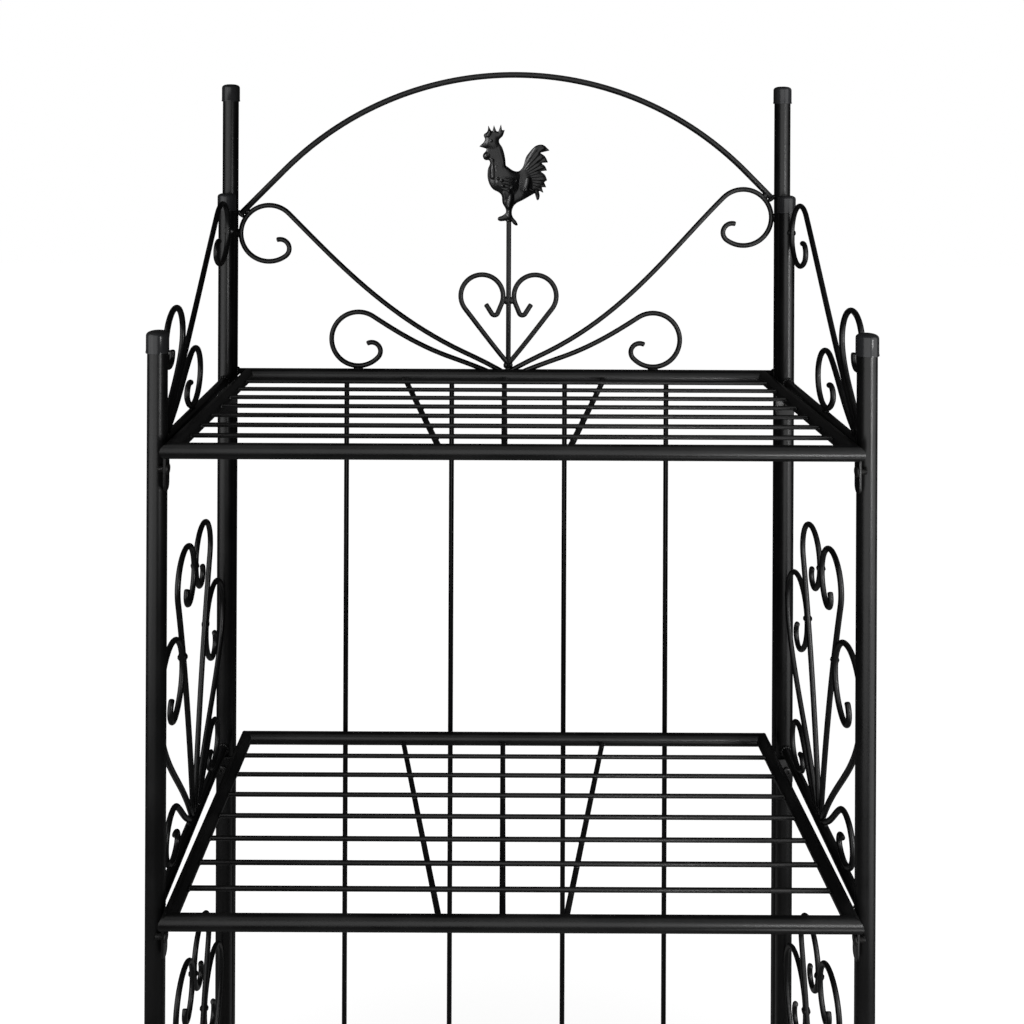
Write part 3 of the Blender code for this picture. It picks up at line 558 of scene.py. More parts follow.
backBar = {"radius": 0.003, "steps": 18, "weldSize": 0.0016, "weldCount": 9}
frontRailY = frontY - rail["overhang"]
rearRailY = backY - backBar["radius"] - common["fitGap"] - rail["radius"]
sideRailX = postX - post["radius"] - 2 * common["fitGap"] - rail["radius"]
lugFaceX = postX - post["radius"] - common["fitGap"]
lugFaceY = rearY - post["radius"] - common["fitGap"]


def railX(y):
    return sideRailX - rail["rearTaper"] * (y - frontY) / (rearY - frontY)


# a mitred loop of tube with a low bead of weld on each mitre
def makeRails(builder, z):
    corners = [Vector((-railX(frontRailY), frontRailY, z)), Vector((railX(frontRailY), frontRailY, z)),
               Vector((railX(rearRailY), rearRailY, z)), Vector((-railX(rearRailY), rearRailY, z))]
    rings = []
    for index, corner in enumerate(corners):
        before = (corner - corners[index - 1]).normalized()
        after = (corners[(index + 1) % len(corners)] - corner).normalized()
        along = (before + after).normalized()
        turn = Matrix((along.cross(axisZ) / along.dot(after), axisZ, along)).transposed().to_4x4()
        for shift, share in ((-before * rail["beadReach"], 1.0), (Vector(), rail["beadRise"]),
                             (after * rail["beadReach"], 1.0)):
            made = bmesh.ops.create_circle(builder, segments=rail["steps"], radius=rail["skin"] * share,
                                           matrix=Matrix.Translation(corner + shift) @ turn)["verts"]
            rings.append(edgesOf(made))
    for first, second in zip(rings, rings[1:] + rings[:1]):
        bmesh.ops.bridge_loops(builder, edges=first + second)


# whether an edge keeps its place along an axis
def isLevel(line, axis):
    first, second = (vert.co[axis] for vert in line.verts)
    return abs(first - second) < lug["level"]


# a tab under the side rail, with its two lower corners rounded
def frontLug(builder, z, sign):
    low = z - lug["drop"]
    inner = lugFaceX - lug["thickness"]
    across = sorted((sign * lugFaceX, sign * inner))
    start, end = frontY - lug["frontStart"], frontY - lug["frontEnd"]
    plate(builder, (across[0], start, low), (across[1], end, z - lug["topDrop"]), lug["edge"],
          lambda line: isLevel(line, 1) and all(vert.co.z < low + lug["level"] for vert in line.verts),
          lug["round"])
    weldZ = z - rail["radius"] * lugWeld["frontDepth"]
    for share in lugWeld["shares"]:
        spot = Vector((sign * inner, start + share * (end - start), weldZ))
        weldDrop(builder, spot, lugWeld["size"], lugWeld["front"])


# a tab in front of the rear post and the neck that joins it to the side rail
def rearLug(builder, z, sign):
    low = z - lug["drop"]
    top = z - sideBar["drop"] - sideBar["radius"] - lug["thickness"]
    inner = postX - post["radius"] - lug["rearInset"]
    near = lugFaceY - lug["thickness"]
    span = sorted((sign * inner, sign * (postX + post["radius"] - lug["thickness"])))
    plate(builder, (span[0], near, low), (span[1], lugFaceY, top), lug["edge"],
          lambda line: isLevel(line, 2) and not isLevel(line, 1), lug["rearRound"])
    neck = sorted((sign * railX(lugFaceY), sign * (inner + lug["thickness"])))
    neckTop = z - lug["neckDrop"]
    plate(builder, (neck[0], near, top - lug["thickness"]), (neck[1], lugFaceY, neckTop), lug["edge"])
    for share in lugWeld["shares"]:
        across = railX(near) + rail["radius"] * (share - lugWeld["rearStart"])
        spot = Vector((sign * across, near + lugWeld["rearSink"], neckTop - lugWeld["rearFall"] * share))
        weldDrop(builder, spot, lugWeld["size"], lugWeld["rear"])


def makeFrame(node, name, z):
    builder = bmesh.new()
    makeRails(builder, z)
    for sign in (-1, 1):
        frontLug(builder, z, sign)
        rearLug(builder, z, sign)
    finishPiece(builder, name, powderCoat, node)


def makeGrid(node, name, z):
    wireZ = z + rail["radius"] - wire["sink"] - wire["radius"]
    bearerZ = wireZ - wire["radius"] - bearer["radius"] + bearer["sink"]
    splay = (bearer["rearSpread"] - bearer["frontSpread"]) / (rearRailY - frontRailY)
    endGap = common["fitGap"] + bearer["radius"] * splay
    frontEnd = frontRailY + rail["radius"] + endGap
    rearEnd = rearRailY - rail["radius"] - endGap
    builder = bmesh.new()
    bearers = []
    for place in (-1, 0, 1):
        start = Vector((bearer["frontShift"] + place * bearer["frontSpread"], frontEnd, bearerZ))
        end = Vector((bearer["rearShift"] + place * bearer["rearSpread"], rearEnd, bearerZ))
        bearers.append((start, end))
        rodAlong(builder, [start, end], bearer["radius"], axisZ, wire["steps"])
        for point in (start, end):
            weldDrop(builder, point, wire["spotSize"], bearer["endStretch"])
    pitch = (rearRailY - frontRailY) / (wire["count"] - 1 + 2 * wire["endShare"])
    for index in range(wire["count"]):
        y = frontRailY + pitch * (wire["endShare"] + index)
        half = railX(y) - rail["radius"] - common["fitGap"]
        ends = [Vector((sign * half, y, wireZ)) for sign in (-1, 1)]
        rodAlong(builder, ends, wire["radius"], axisZ, wire["steps"])
        for end in ends:
            weldDrop(builder, end - axisZ * wire["endDrop"], wire["spotSize"], wire["endStretch"])
        for start, end in bearers:
            crossing = start.lerp(end, (y - start.y) / (end.y - start.y))
            spot = Vector((crossing.x, y, wireZ - wire["radius"]))
            weldDrop(builder, spot, wire["spotSize"], wire["crossStretch"])
    finishPiece(builder, name, powderCoat, node)


for tier, height in enumerate(tierHeights, start=1):
    makeFrame(f"shelf_frame_{tier}", f"shelfFrame{tier}", height)
    makeGrid(f"shelf_grid_{tier}", f"shelfGrid{tier}", height)
print("shelves made")

# bolts: a low round head with a six-sided socket, and a threaded shank
bolt = {"radius": 0.0025, "headRadius": 0.0045, "headHeight": 0.0018, "headEdge": 0.0002,
        "headDome": ((1.0, 0.40), (0.93, 0.72), (0.78, 0.93), (0.60, 1.0)), "socketRadius": 0.0016,
        "socketRim": 0.00208, "socketDepth": 0.0011, "socketSides": 6, "tail": 0.005, "tipRadius": 0.001875,
        "tipRun": 0.0005, "plainRun": 0.002, "threadPitch": 0.0008, "threadDepth": 0.00028,
        "frontDrop": 0.016, "frontAhead": 0.010, "rearDrop": 0.022, "steps": 36}


def makeBolt(node, name, place, length):
    radius, head, top = bolt["radius"], bolt["headRadius"], -bolt["headHeight"]
    shank = [(0.0, length), (bolt["tipRadius"], length)]
    for ridge in range(int((length - bolt["plainRun"]) / bolt["threadPitch"])):
        base = length - bolt["tipRun"] - ridge * bolt["threadPitch"]
        shank += [(radius - bolt["threadDepth"], base), (radius, base - bolt["threadPitch"] / 2)]
    shank.append((radius, 0.0))
    dome = [(head - bolt["headEdge"], 0.0), (head, -bolt["headEdge"])]
    dome += [(head * across, top * up) for across, up in bolt["headDome"]]
    builder = bmesh.new()
    spinProfile(builder, shank + dome + [(bolt["socketRim"], top)], Matrix(), bolt["steps"])
    rim = rimOf(builder.edges)
    socket = bmesh.ops.create_circle(builder, segments=bolt["socketSides"], radius=bolt["socketRadius"],
                                     matrix=Matrix.Translation((0, 0, top)))["verts"]
    flats = edgesOf(socket)
    bmesh.ops.bridge_loops(builder, edges=rim + flats)
    deep = bmesh.ops.extrude_edge_only(builder, edges=flats)["geom"]
    bmesh.ops.translate(builder, vec=(0, 0, bolt["socketDepth"]), verts=vertsOf(deep))
    bmesh.ops.edgeloop_fill(builder, edges=rimOf(deep))
    bmesh.ops.transform(builder, matrix=place, verts=builder.verts)
    finishPiece(builder, name, boltFinish, node)


grip = lug["thickness"] + common["fitGap"]
frontLength = grip + bolt["tail"]
rearLength = common["fitGap"] + grip + (backY - rearY) + post["wall"] + bolt["tail"]
rearTurn = Matrix.Rotation(-math.pi / 2, 4, "X")
for tier, height in enumerate(tierHeights, start=1):
    for side, title, sign in sides:
        frontSeat = (sign * (lugFaceX - grip), frontY - bolt["frontAhead"], height - bolt["frontDrop"])
        frontTurn = Matrix.Rotation(sign * math.pi / 2, 4, "Y")
        makeBolt(f"front_bolt_{tier}_{side}", f"frontBolt{tier}{title}",
                 Matrix.Translation(frontSeat) @ frontTurn, frontLength)
        rearSeat = (sign * postX, lugFaceY - grip, height - bolt["rearDrop"])
        makeBolt(f"rear_bolt_{tier}_{side}", f"rearBolt{tier}{title}",
                 Matrix.Translation(rearSeat) @ rearTurn, rearLength)
print("bolts made")

# back panel
arch = {"radius": 0.003, "shift": 0.009, "straight": 0.0377, "turn": math.radians(45.2), "bendSteps": 90,
        "steps": 18, "weldSize": 0.0018, "weldCount": 9}
upper = {"radius": 0.0285, "start": 0.0080, "turn": (20, 135, -261), "footRun": 0.0080, "postSink": 0.0004,
         "onPost": (0.7, 1.0, 1.6), "onArch": (1.2, 1.0, 1.2)}
lower = {"radius": 0.0273, "start": 0.0230, "reach": 0.1494, "turn": (12, 123, -260), "footRun": 0.0060,
         "onBar": (1.7, 1.0, 0.7)}
heart = {"radius": 0.0215, "height": 0.0795, "gap": 0.0005, "stemShift": 0.0027, "stemTop": 0.1560,
         "turn": (50, -38, 243), "hookShare": 0.163, "hookSweep": math.radians(127), "hookLead": 0.009,
         "hookRun": 0.011, "tieHeight": 0.0750, "tieReach": 0.0027, "tieSize": 0.0038,
         "tieStretch": (0.9, 0.9, 1.15), "footReach": 0.0026, "footRise": 0.001,
         "footStretch": (1.0, 1.0, 1.2), "stemStretch": (1.3, 1.0, 0.8)}
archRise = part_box("back_arch")[1][2] - arch["radius"] - topZ
barRise = middle("back_bar_top").z - topZ
ornamentFoot = barRise + backBar["radius"] + common["fitGap"] + scroll["radius"]
archBend = lugFaceX - arch["straight"]
bendRadius = archBend / math.sin(arch["turn"])


def bendHeight(angle):
    return archRise - bendRadius * (1 - math.cos(angle))


def archEndHeight(reach):
    return bendHeight(arch["turn"]) - math.tan(arch["turn"]) * (reach - archBend)


def backPoint(across, up):
    return Vector((across, backY, topZ + up))


def makeArch():
    endX = lugFaceX - arch["radius"] * math.sin(arch["turn"])
    path = [backPoint(-endX, archEndHeight(endX + arch["shift"]))]
    for step in range(arch["bendSteps"] + 1):
        angle = arch["turn"] * (2 * step / arch["bendSteps"] - 1)
        path.append(backPoint(arch["shift"] + bendRadius * math.sin(angle), bendHeight(angle)))
    path.append(backPoint(endX, archEndHeight(endX - arch["shift"])))
    builder = bmesh.new()
    rodAlong(builder, path, arch["radius"], axisY, arch["steps"])
    for end, beside in ((path[0], path[1]), (path[-1], path[-2])):
        inward = (beside - end).normalized()
        weldRing(builder, end, inward, arch["radius"], arch["weldSize"], arch["weldCount"])
    finishPiece(builder, "backArch", powderCoat, "back_arch")


settle = {"depth": 0.0042, "reach": 0.040, "weldStretch": (2.0, 0.9, 0.4)}


def makeBackScroll(node, name, path, sign, footRun, welds):
    rod = [backPoint(sign * along, up) for along, up in path]
    rod.insert(0, rod[0] - footRun * (rod[1] - rod[0]).normalized())
    base = rod[0].copy()
    for point in rod:  # the foot settles into the weld on the bar
        point.z -= settle["depth"] * max(1 - (point - base).length / settle["reach"], 0.0) ** 2
    builder = bmesh.new()
    rodAlong(builder, rod, scroll["radius"], axisY, scroll["steps"])
    weldDrop(builder, rod[1] - axisZ * scroll["radius"], scrollWeld["bead"], settle["weldStretch"])
    for along, up, stretch in welds:
        weldDrop(builder, backPoint(sign * along, up), scrollWeld["touch"], stretch)
    finishPiece(builder, name, powderCoat, node)


def makeHeart():
    shift = heart["stemShift"]
    stemFoot = backPoint(shift, ornamentFoot - scroll["radius"])
    stemTop = backPoint(shift, heart["stemTop"])
    lobeReach = heart["radius"] + 2 * scroll["radius"] + heart["gap"]
    lobe = scrollPath((0.0, ornamentFoot + scroll["radius"]),
                      {**heart, "centre": (lobeReach, heart["height"])})
    builder = bmesh.new()
    rodAlong(builder, [stemFoot, stemTop], scroll["radius"], axisY, scroll["steps"])
    for sign in (-1, 1):
        rod = [backPoint(shift + sign * along, up) for along, up in lobe]
        rodAlong(builder, rod, scroll["radius"], axisY, scroll["steps"])
        tieSpot = backPoint(shift + sign * heart["tieReach"], heart["tieHeight"])
        weldDrop(builder, tieSpot, heart["tieSize"], heart["tieStretch"])
        footSpot = backPoint(shift + sign * heart["footReach"], ornamentFoot + heart["footRise"])
        weldDrop(builder, footSpot, scrollWeld["bead"], heart["footStretch"])
    weldDrop(builder, stemFoot, scrollWeld["bead"], heart["stemStretch"])
    finishPiece(builder, "heartStem", powderCoat, "heart_stem")


def makeBackBar(node, name):
    z = middle(node).z
    ends = [Vector((sign * lugFaceX, backY, z)) for sign in (-1, 1)]
    builder = bmesh.new()
    rodAlong(builder, ends, backBar["radius"], axisY, backBar["steps"])
    for end in ends:
        weldRing(builder, end, axisX, backBar["radius"], backBar["weldSize"], backBar["weldCount"])
    finishPiece(builder, name, powderCoat, node)


def makeBackRod(node, name):
    x = middle(node).x
    ends = [Vector((x, backY, corner[2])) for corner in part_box(node)]
    builder = bmesh.new()
    rodAlong(builder, ends, backRod["radius"], axisY, backRod["steps"])
    for end in ends:
        for beside in (-1, 1):
            spot = end + axisX * beside * backRod["radius"] * backRod["weldReach"]
            weldDrop(builder, spot, backRod["weldSize"], backRod["weldStretch"])
    finishPiece(builder, name, powderCoat, node)


makeArch()
curlRim = upper["radius"] + scroll["radius"]
upperReach = lugFaceX - curlRim
underArch = (curlRim + arch["radius"] + common["fitGap"]) / math.cos(arch["turn"])
lowerPath = scrollPath((lower["start"], ornamentFoot),
                       {**lower, "centre": (lower["reach"], ornamentFoot + lower["radius"])})
lowerWelds = [(lower["reach"], ornamentFoot - scroll["radius"], lower["onBar"])]
for side, title, sign in sides:
    height = archEndHeight(upperReach - sign * arch["shift"]) - underArch
    upperPath = scrollPath((upper["start"], ornamentFoot), {**upper, "centre": (upperReach, height)})
    underX = upperReach + curlRim * math.sin(arch["turn"])
    upperWelds = [(upperReach + curlRim - upper["postSink"], height, upper["onPost"]),
                  (underX, height + curlRim * math.cos(arch["turn"]), upper["onArch"])]
    makeBackScroll(f"upper_scroll_{side}", f"upperScroll{title}", upperPath, sign, upper["footRun"],
                   upperWelds)
    makeBackScroll(f"lower_scroll_{side}", f"lowerScroll{title}", lowerPath, sign, lower["footRun"],
                   lowerWelds)
makeHeart()
makeBackBar("back_bar_top", "backBarTop")
makeBackBar("back_bar_bottom", "backBarBottom")
for number in (1, 2, 3, 4):
    makeBackRod(f"back_rod_{number}", f"backRod{number}")
print("back panel made")

# rooster: a cast figure, worked in relief on both faces; places and sizes are in millimetres
millimetre = 0.001
rooster = {
    "outlineSteps": 14, "rimSteps": 12, "mergeDistance": 1e-4, "voxel": 0.4, "edge": 0.6, "flat": 2.3,
    "rimWidth": 6.5, "firstPolish": 0.5, "lastPolish": 0.6, "weldStretch": (1.1, 1.0, 0.9),
    "swells": (
        ((-5.0, 43.0), (17.0, 22.0), 2.8),  # breast
        ((-1.5, 22.0), (7.0, 12.0), 1.5),  # thigh
        ((17.0, 37.0), (7.0, 13.0), 1.2),  # saddle
        ((-17.0, 80.0), (7.0, 8.0), 0.7),  # head
        ((-23.4, 65.6), (4.2, 5.0), 0.9),  # wattle
        ((0.5, 9.0), (3.0, 8.0), 0.7)),  # leg
    "swellFade": 2.0, "swellPower": 1.2,
    "wing": {"centre": (-1.5, 37.5), "half": (12.0, 7.6), "turn": math.radians(-16), "rise": 0.40,
             "border": (0.86, 1.04), "featherPitch": 3.1, "featherDepth": 0.45, "featherBow": 0.0125,
             "featherStart": (-7.0, -2.0)},
    "knobs": ((-11.3, 42.8), (-7.2, 40.9), (-6.1, 35.3), (8.1, 40.3), (3.1, 33.6), (0.3, 30.2)),
    "knobSize": 1.7, "knobRise": 1.1, "eye": (-18.0, 81.0), "eyeSize": 1.5, "eyeRise": 0.7,
    "ridges": (((-17.6, 61.0), (-17.0, 44.5)), ((19.8, 42.0), (17.4, 31.0)), ((17.4, 31.0), (24.0, 30.2)),
               ((2.6, 24.5), (-0.2, 14.0)), ((-21.5, 87.0), (-18.8, 92.5))),
    "ridgeWidth": 2.6, "ridgeRise": 1.1, "ridgeFade": 1.5,
    "tail": {"root": (7.0, 42.0), "featherTurn": math.radians(8.2), "depth": 0.42, "fromRoot": (9.0, 14.0),
             "across": (12.0, 16.0), "fade": 1.5},
    "hackle": {"pitch": 3.0, "slant": 0.30, "slantFrom": 60, "depth": 0.12, "low": (47.0, 52.0),
               "high": (73.0, 77.0), "across": (-6.0, 0.0), "fade": 2.5},
    "outline": (  # across, up, and whether it is a sharp point
        (-30.4, 75.1, True), (-24.6, 82.3, False), (-25.9, 86.9, False), (-22.3, 90.4, False),
        (-21.3, 96.6, True), (-18.4, 91.4, True), (-17.0, 90.8, True), (-15.6, 97.0, True),
        (-13.0, 90.8, True), (-11.0, 90.3, True), (-8.4, 98.0, True), (-7.2, 91.6, True),
        (-4.5, 92.2, True), (-6.6, 86.0, False), (-10.2, 81.5, False), (-6.6, 73.3, False),
        (-4.2, 64.5, False), (-3.3, 55.8, True), (8.1, 50.0, False), (12.1, 51.9, False),
        (18.8, 67.2, False), (32.3, 77.4, False), (41.3, 71.4, True), (31.4, 69.0, True),
        (36.2, 65.6, False), (39.6, 59.2, True), (31.9, 58.6, True), (36.2, 55.8, False),
        (38.6, 51.0, True), (31.6, 50.2, True), (36.4, 46.6, False), (38.7, 41.1, True),
        (35.6, 39.2, True), (37.9, 33.9, True), (33.2, 34.2, True), (35.0, 28.3, True),
        (30.4, 30.6, True), (31.0, 23.6, False), (29.0, 20.8, False), (27.5, 23.6, False),
        (26.2, 28.0, True), (14.5, 21.2, False), (6.4, 16.6, False), (3.6, 12.0, False),
        (3.4, 5.4, False), (8.6, -2.6, False), (8.9, -4.6, False), (6.4, -4.6, False),
        (2.4, -0.6, True), (-3.4, -0.3, True), (-10.6, 0.2, False), (-11.4, 2.2, False),
        (-5.9, 5.6, False), (-3.0, 8.6, False), (-6.6, 18.3, False), (-8.1, 26.4, False),
        (-17.1, 32.7, False), (-21.2, 40.8, False), (-21.7, 50.8, False), (-20.0, 60.7, False),
        (-24.5, 61.6, False), (-26.7, 66.1, False), (-23.6, 70.6, True), (-22.7, 72.8, True))}


def smoothStep(value, low, high):
    share = min(max((value - low) / (high - low), 0.0), 1.0)
    return share * share * (3 - 2 * share)


# a wave from 0 to 1 and back for each whole turn
def wave(turns):
    return 0.5 + 0.5 * math.cos(2 * math.pi * turns)


def swell(across, up, centre, half):
    rest = 1 - ((across - centre[0]) / half[0]) ** 2 - ((up - centre[1]) / half[1]) ** 2
    return max(rest, 0.0) ** rooster["swellPower"]


def wingRelief(across, up):
    wing = rooster["wing"]
    offX, offZ = across - wing["centre"][0], up - wing["centre"][1]
    along = offX * math.cos(wing["turn"]) + offZ * math.sin(wing["turn"])
    over = offZ * math.cos(wing["turn"]) - offX * math.sin(wing["turn"])
    spread = math.hypot(along / wing["half"][0], over / wing["half"][1])
    groove = 1 - wave((over + wing["featherBow"] * along * along) / wing["featherPitch"])
    cut = wing["featherDepth"] * groove * smoothStep(along, *wing["featherStart"])
    return (1 - smoothStep(spread, *wing["border"])) * (wing["rise"] - cut)


def ridgeRelief(across, up, start, end):
    nearest, share = intersect_point_line((across, up), start, end)
    nearest = Vector(end if share > 1 else start if share < 0 else nearest)
    off = math.hypot(across - nearest.x, up - nearest.y) / rooster["ridgeWidth"]
    return rooster["ridgeRise"] * max(1 - off * off, 0.0)


def tailCut(across, up):
    tail = rooster["tail"]
    offX, offZ = across - tail["root"][0], up - tail["root"][1]
    onTail = smoothStep(math.hypot(offX, offZ), *tail["fromRoot"]) * smoothStep(across, *tail["across"])
    return tail["depth"] * onTail * (1 - wave(math.atan2(offZ, offX) / tail["featherTurn"]))


def hackleCut(across, up):
    hackle = rooster["hackle"]
    onNeck = smoothStep(up, *hackle["low"]) * (1 - smoothStep(up, *hackle["high"]))
    slanted = across + hackle["slant"] * (up - hackle["slantFrom"])
    groove = 1 - wave(slanted / hackle["pitch"])
    return hackle["depth"] * onNeck * groove * (1 - smoothStep(across, *hackle["across"]))


# half the figure's thickness at a place, inside is its distance from the outline
def roosterHalf(across, up, inside):
    def fade(width):
        return min(inside / width, 1.0)

    roundness = math.sqrt(1 - (1 - fade(rooster["rimWidth"])) ** 2)
    half = rooster["edge"] + (rooster["flat"] - rooster["edge"]) * roundness
    for centre, reach, rise in rooster["swells"]:
        half += rise * swell(across, up, centre, reach) * fade(rooster["swellFade"])
    half += wingRelief(across, up)
    for place in rooster["knobs"]:
        half += rooster["knobRise"] * swell(across, up, place, (rooster["knobSize"], rooster["knobSize"]))
    for start, end in rooster["ridges"]:
        half += ridgeRelief(across, up, start, end) * fade(rooster["ridgeFade"])
    half += rooster["eyeRise"] * swell(across, up, rooster["eye"], (rooster["eyeSize"], rooster["eyeSize"]))
    half -= tailCut(across, up) * fade(rooster["tail"]["fade"])
    half -= hackleCut(across, up) * fade(rooster["hackle"]["fade"])
    return half


def evaluated(data, change=None):
    holder = bpy.data.objects.new("holder", data)
    bpy.context.collection.objects.link(holder)
    if change:
        change(holder)
    bpy.context.view_layer.update()
    mesh = bpy.data.meshes.new_from_object(holder.evaluated_get(bpy.context.evaluated_depsgraph_get()))
    bpy.data.objects.remove(holder)
    return mesh


def outlineWire():
    curve = bpy.data.curves.new("roosterOutline", "CURVE")
    curve.dimensions = "2D"
    curve.fill_mode = "NONE"
    curve.resolution_u = rooster["outlineSteps"]
    spline = curve.splines.new("BEZIER")
    spline.use_cyclic_u = True
    spline.bezier_points.add(len(rooster["outline"]) - 1)
    for knot, (across, up, pointed) in zip(spline.bezier_points, rooster["outline"]):
        knot.co = (across, up, 0)
        knot.handle_left_type = knot.handle_right_type = "VECTOR" if pointed else "AUTO"
    return evaluated(curve)


def voxelSkin(holder):
    skinning = holder.modifiers.new("skin", "REMESH")
    skinning.mode = "VOXEL"
    skinning.voxel_size = rooster["voxel"]


# close points along the outline, to find how far inside it a place is
def outlineTree(outline):
    steps = rooster["rimSteps"]
    tree = kdtree.KDTree(len(outline.edges) * steps)
    for edge in outline.edges:
        start, end = (outline.vertices[index].co for index in edge.vertices)
        for step in range(steps):
            tree.insert(start.lerp(end, step / steps), edge.index)
    tree.balance()
    return tree


def makeRooster():
    outline = outlineWire()
    tree = outlineTree(outline)
    builder = bmesh.new()
    builder.from_mesh(outline)
    bmesh.ops.remove_doubles(builder, verts=builder.verts, dist=rooster["mergeDistance"])
    bmesh.ops.triangle_fill(builder, use_beauty=True, edges=builder.edges)
    face = bmesh.ops.extrude_face_region(builder, geom=builder.faces)["geom"]
    bmesh.ops.translate(builder, vec=(0, 0, 2 * rooster["flat"]), verts=vertsOf(face))
    bmesh.ops.translate(builder, vec=(0, 0, -rooster["flat"]), verts=builder.verts)
    bmesh.ops.recalc_face_normals(builder, faces=builder.faces)
    block = bpy.data.meshes.new("roosterBlock")
    builder.to_mesh(block)
    builder.free()
    figure = bmesh.new()
    figure.from_mesh(evaluated(block, voxelSkin))
    bmesh.ops.smooth_vert(figure, verts=figure.verts, factor=rooster["firstPolish"],
                          use_axis_x=True, use_axis_y=True, use_axis_z=False)
    for vert in figure.verts:
        inside = tree.find(Vector((vert.co.x, vert.co.y, 0)))[2]
        vert.co.z *= roosterHalf(vert.co.x, vert.co.y, inside) / rooster["flat"]
    bmesh.ops.smooth_vert(figure, verts=figure.verts, factor=rooster["lastPolish"],
                          use_axis_x=True, use_axis_y=True, use_axis_z=True)
    base = backPoint(heart["stemShift"], heart["stemTop"])
    upright = Matrix.Translation(base) @ Matrix.Rotation(math.pi / 2, 4, "X") @ Matrix.Scale(millimetre, 4)
    bmesh.ops.transform(figure, matrix=upright, verts=figure.verts)
    weldDrop(figure, base, scrollWeld["bead"], rooster["weldStretch"])  # between the toes and the stem
    finishPiece(figure, "castRooster", castCoat, "rooster")


makeRooster()
print("rooster made")

# floor: its glow is weakest near the stand, so that the shadow there shows
stage = {"half": 8.0, "segments": 8, "white": 0.78, "nearReach": 0.25, "farReach": 0.75,
         "colour": (0.62, 0.62, 0.62), "darker": (0.6076, 0.6076, 0.6076), "noise": (3.0, 2.0)}
whiteLight = (1, 1, 1, 1)


def makeFloor():
    material = bpy.data.materials.new("paleStudioFloor")
    shade = startTree(material)
    place = shade.node("ShaderNodeTexCoord", out="Object")
    tint = place.noise(*stage["noise"]).blend(stage["colour"], stage["darker"])
    distance = shade.node("ShaderNodeVectorMath", {"operation": "LENGTH"}, {0: place}, "Value")
    rise = distance.clip(stage["nearReach"], stage["farReach"])
    camera = shade.node("ShaderNodeLightPath", out="Is Camera Ray")
    glow = camera * (stage["white"] + (1 - stage["white"]) * rise)
    matt = shade.node("ShaderNodeBsdfDiffuse", None, {"Color": tint})
    white = shade.node("ShaderNodeEmission", None, {"Color": whiteLight, "Strength": glow})
    surface = shade.node("ShaderNodeAddShader", None, {0: matt, 1: white})
    shade.node("ShaderNodeOutputMaterial", None, {"Surface": surface})
    builder = bmesh.new()
    bmesh.ops.create_grid(builder, x_segments=stage["segments"], y_segments=stage["segments"],
                          size=stage["half"])
    floor = newObject(builder, "studioFloor", material)
    lampGroups[floor.name] = "floor"


# lamps: soft panels and strips, each for some groups of pieces
lamps = {
    "leftSidePanel": {"place": (-1.15, -0.62, 0.95), "aim": (-0.28, -0.12, 0.85), "size": (0.85, 1.5),
                      "glow": 1.25, "lights": ("left", "middle", "figure")},
    "leftFrontPanel": {"place": (-0.59, -1.28, 0.90), "aim": (-0.28, -0.12, 0.80), "size": (1.2, 1.5),
                       "glow": 1.15, "lights": ("left",)},
    "leftStrip": {"place": (0.36, -0.76, 0.82), "aim": (-0.28, -0.12, 0.87), "size": (0.06, 0.34),
                  "glow": 26.0, "lights": ("left",)},
    "rightSidePanel": {"place": (0.76, -0.48, 0.85), "aim": (0.28, -0.12, 0.85), "size": (0.72, 1.5),
                       "glow": 1.35, "lights": ("right", "middle")},
    "rightFrontPanel": {"place": (0.04, -0.79, 0.95), "aim": (0.28, -0.12, 0.85), "size": (0.9, 1.5),
                        "glow": 1.2, "lights": ("right",)},
    "rightStrip": {"place": (0.80, -0.86, 0.80), "aim": (0.28, -0.12, 0.87), "size": (0.10, 0.5),
                   "glow": 20.0, "lights": ("right",)},
    "railStrip": {"place": (0.38, -0.75, 0.69), "aim": (0.22, -0.14, 0.85), "size": (0.06, 0.16),
                  "glow": 36.0, "lights": ("middle",)},
    "lowRailStrip": {"place": (0.38, -0.75, 0.08), "aim": (0.22, -0.14, 0.48), "size": (0.06, 0.16),
                     "glow": 15.0, "lights": ("middle",)},
    "frontPanel": {"place": (-0.02, -1.95, 1.35), "aim": (-0.02, 0.0, 0.95), "size": (1.5, 2.1),
                   "glow": 1.1, "lights": ("middle", "rear", "figure")},
    "topPanel": {"place": (0.0, -0.60, 2.60), "aim": (0.0, 0.0, 0.90), "size": (2.0, 1.6),
                 "glow": 0.42, "lights": ("middle",)},
    "figureLamp": {"place": (-0.80, -0.80, 1.32), "aim": (0.0, 0.14, 1.06), "size": (0.32, 1.0),
                   "glow": 8.0, "lights": ("figure",)},
    "floorLamp": {"place": (-0.10, 0.10, 2.40), "aim": (0.0, 0.0, 0.0), "size": (0.6, 0.6),
                  "glow": 1.25, "spread": math.radians(50), "lights": ("floor",)}}


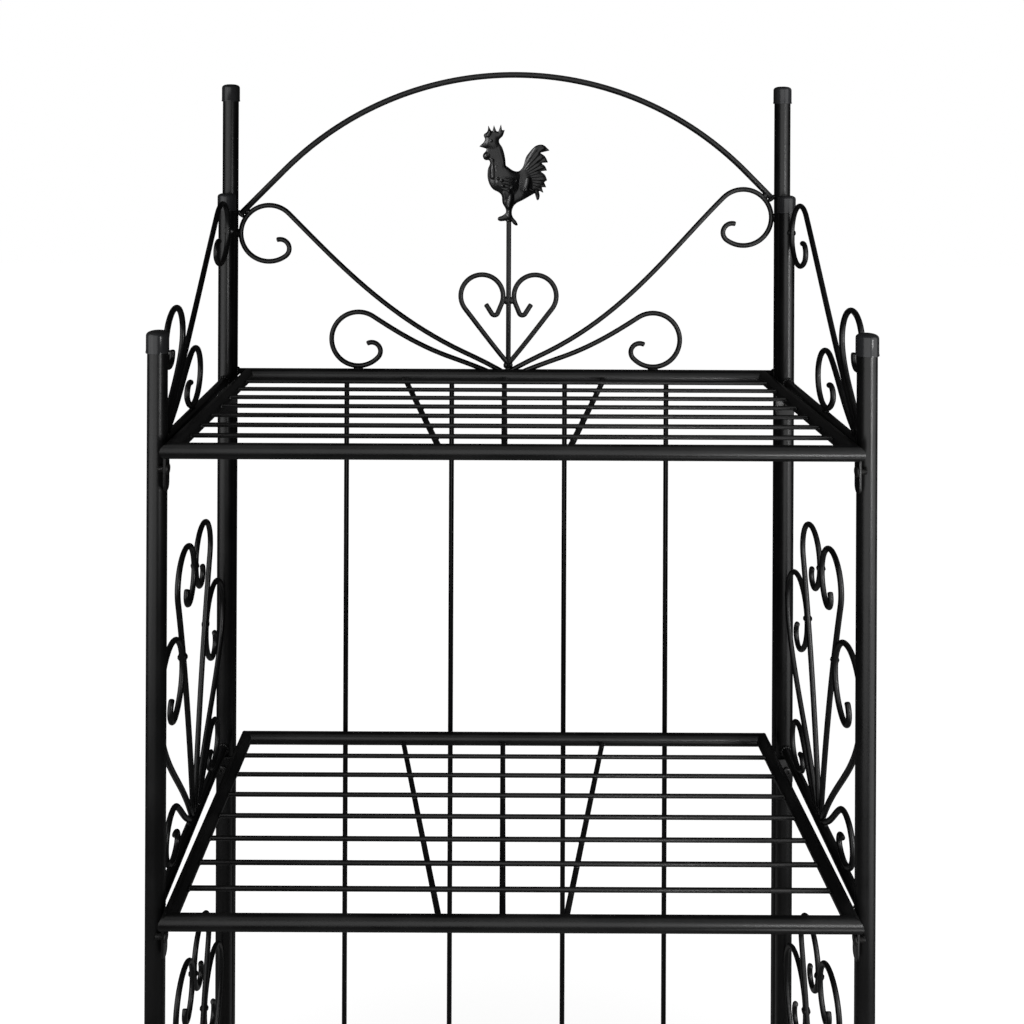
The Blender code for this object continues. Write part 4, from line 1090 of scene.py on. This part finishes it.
# a panel of even glow, kept off the pieces that are not in its groups
def makeLamp(name, lamp):
    light = bpy.data.lights.new(name, "AREA")
    light.shape = "RECTANGLE"
    light.size, light.size_y = lamp["size"]
    light.energy = lamp["glow"] * math.pi * light.size * light.size_y
    light.spread = lamp.get("spread", math.pi)
    holder = bpy.data.objects.new(name, light)
    place = Vector(lamp["place"])
    holder.location = place
    holder.rotation_euler = (Vector(lamp["aim"]) - place).to_track_quat("-Z", "Y").to_euler()
    holder.visible_camera = False
    bpy.context.collection.objects.link(holder)
    lit = bpy.data.collections.new(name + "Lights")
    for piece in bpy.context.collection.objects:
        if piece.type == "MESH" and lampGroups.get(piece.name, "middle") in lamp["lights"]:
            lit.objects.link(piece)
    holder.light_linking.receiver_collection = lit


studio = {"fill": 0.015, "backdropEdge": (0.70, 0.82), "backdropShare": 0.012}


# the world is white to the camera and dim to gloss, where the backdrop is behind the stand
def makeWorld():
    world = bpy.data.worlds.new("studio")
    shade = startTree(world)
    direction = shade.node("ShaderNodeTexCoord", out="Generated")
    behind = shade.node("ShaderNodeSeparateXYZ", None, {0: direction}, "Y").clip(*studio["backdropEdge"])
    camera = shade.node("ShaderNodeLightPath", out="Is Camera Ray")
    gloss = shade.node("ShaderNodeLightPath", out="Is Glossy Ray")
    through = shade.node("ShaderNodeLightPath", out="Is Transmission Ray")
    shown = camera + (gloss + through) * behind * studio["backdropShare"]
    strength = shown + (1 - shown) * studio["fill"]
    light = shade.node("ShaderNodeBackground", None, {"Color": whiteLight, "Strength": strength})
    shade.node("ShaderNodeOutputWorld", None, {"Surface": light})
    bpy.context.scene.world = world


# camera: pixels of the photo, a sensor in millimetres, and metres from the front posts and the top shelf
photo = {"pixels": 1024, "focal": 1160, "centre": (482.86, 124.0), "sensor": 36.0, "right": -0.0241,
         "away": 0.9153, "above": 0.2540, "roll": -0.0042, "nearest": 0.05}


def makeCamera():
    lens = bpy.data.cameras.new("photoCamera")
    lens.sensor_width = photo["sensor"]
    lens.lens = photo["sensor"] * photo["focal"] / photo["pixels"]
    lens.shift_x = (photo["pixels"] / 2 - photo["centre"][0]) / photo["pixels"]
    lens.shift_y = -(photo["pixels"] / 2 - photo["centre"][1]) / photo["pixels"]
    lens.clip_start = photo["nearest"]
    camera = bpy.data.objects.new("photoCamera", lens)
    camera.location = (photo["right"], frontY - photo["away"], topZ + photo["above"])
    camera.rotation_euler = (math.pi / 2, photo["roll"], 0)
    bpy.context.collection.objects.link(camera)
    bpy.context.scene.camera = camera


makeFloor()
for lampName, lamp in lamps.items():
    makeLamp(lampName, lamp)
makeWorld()
makeCamera()
bpy.context.scene.view_settings.view_transform = "Standard"
print("stage, light and camera made")
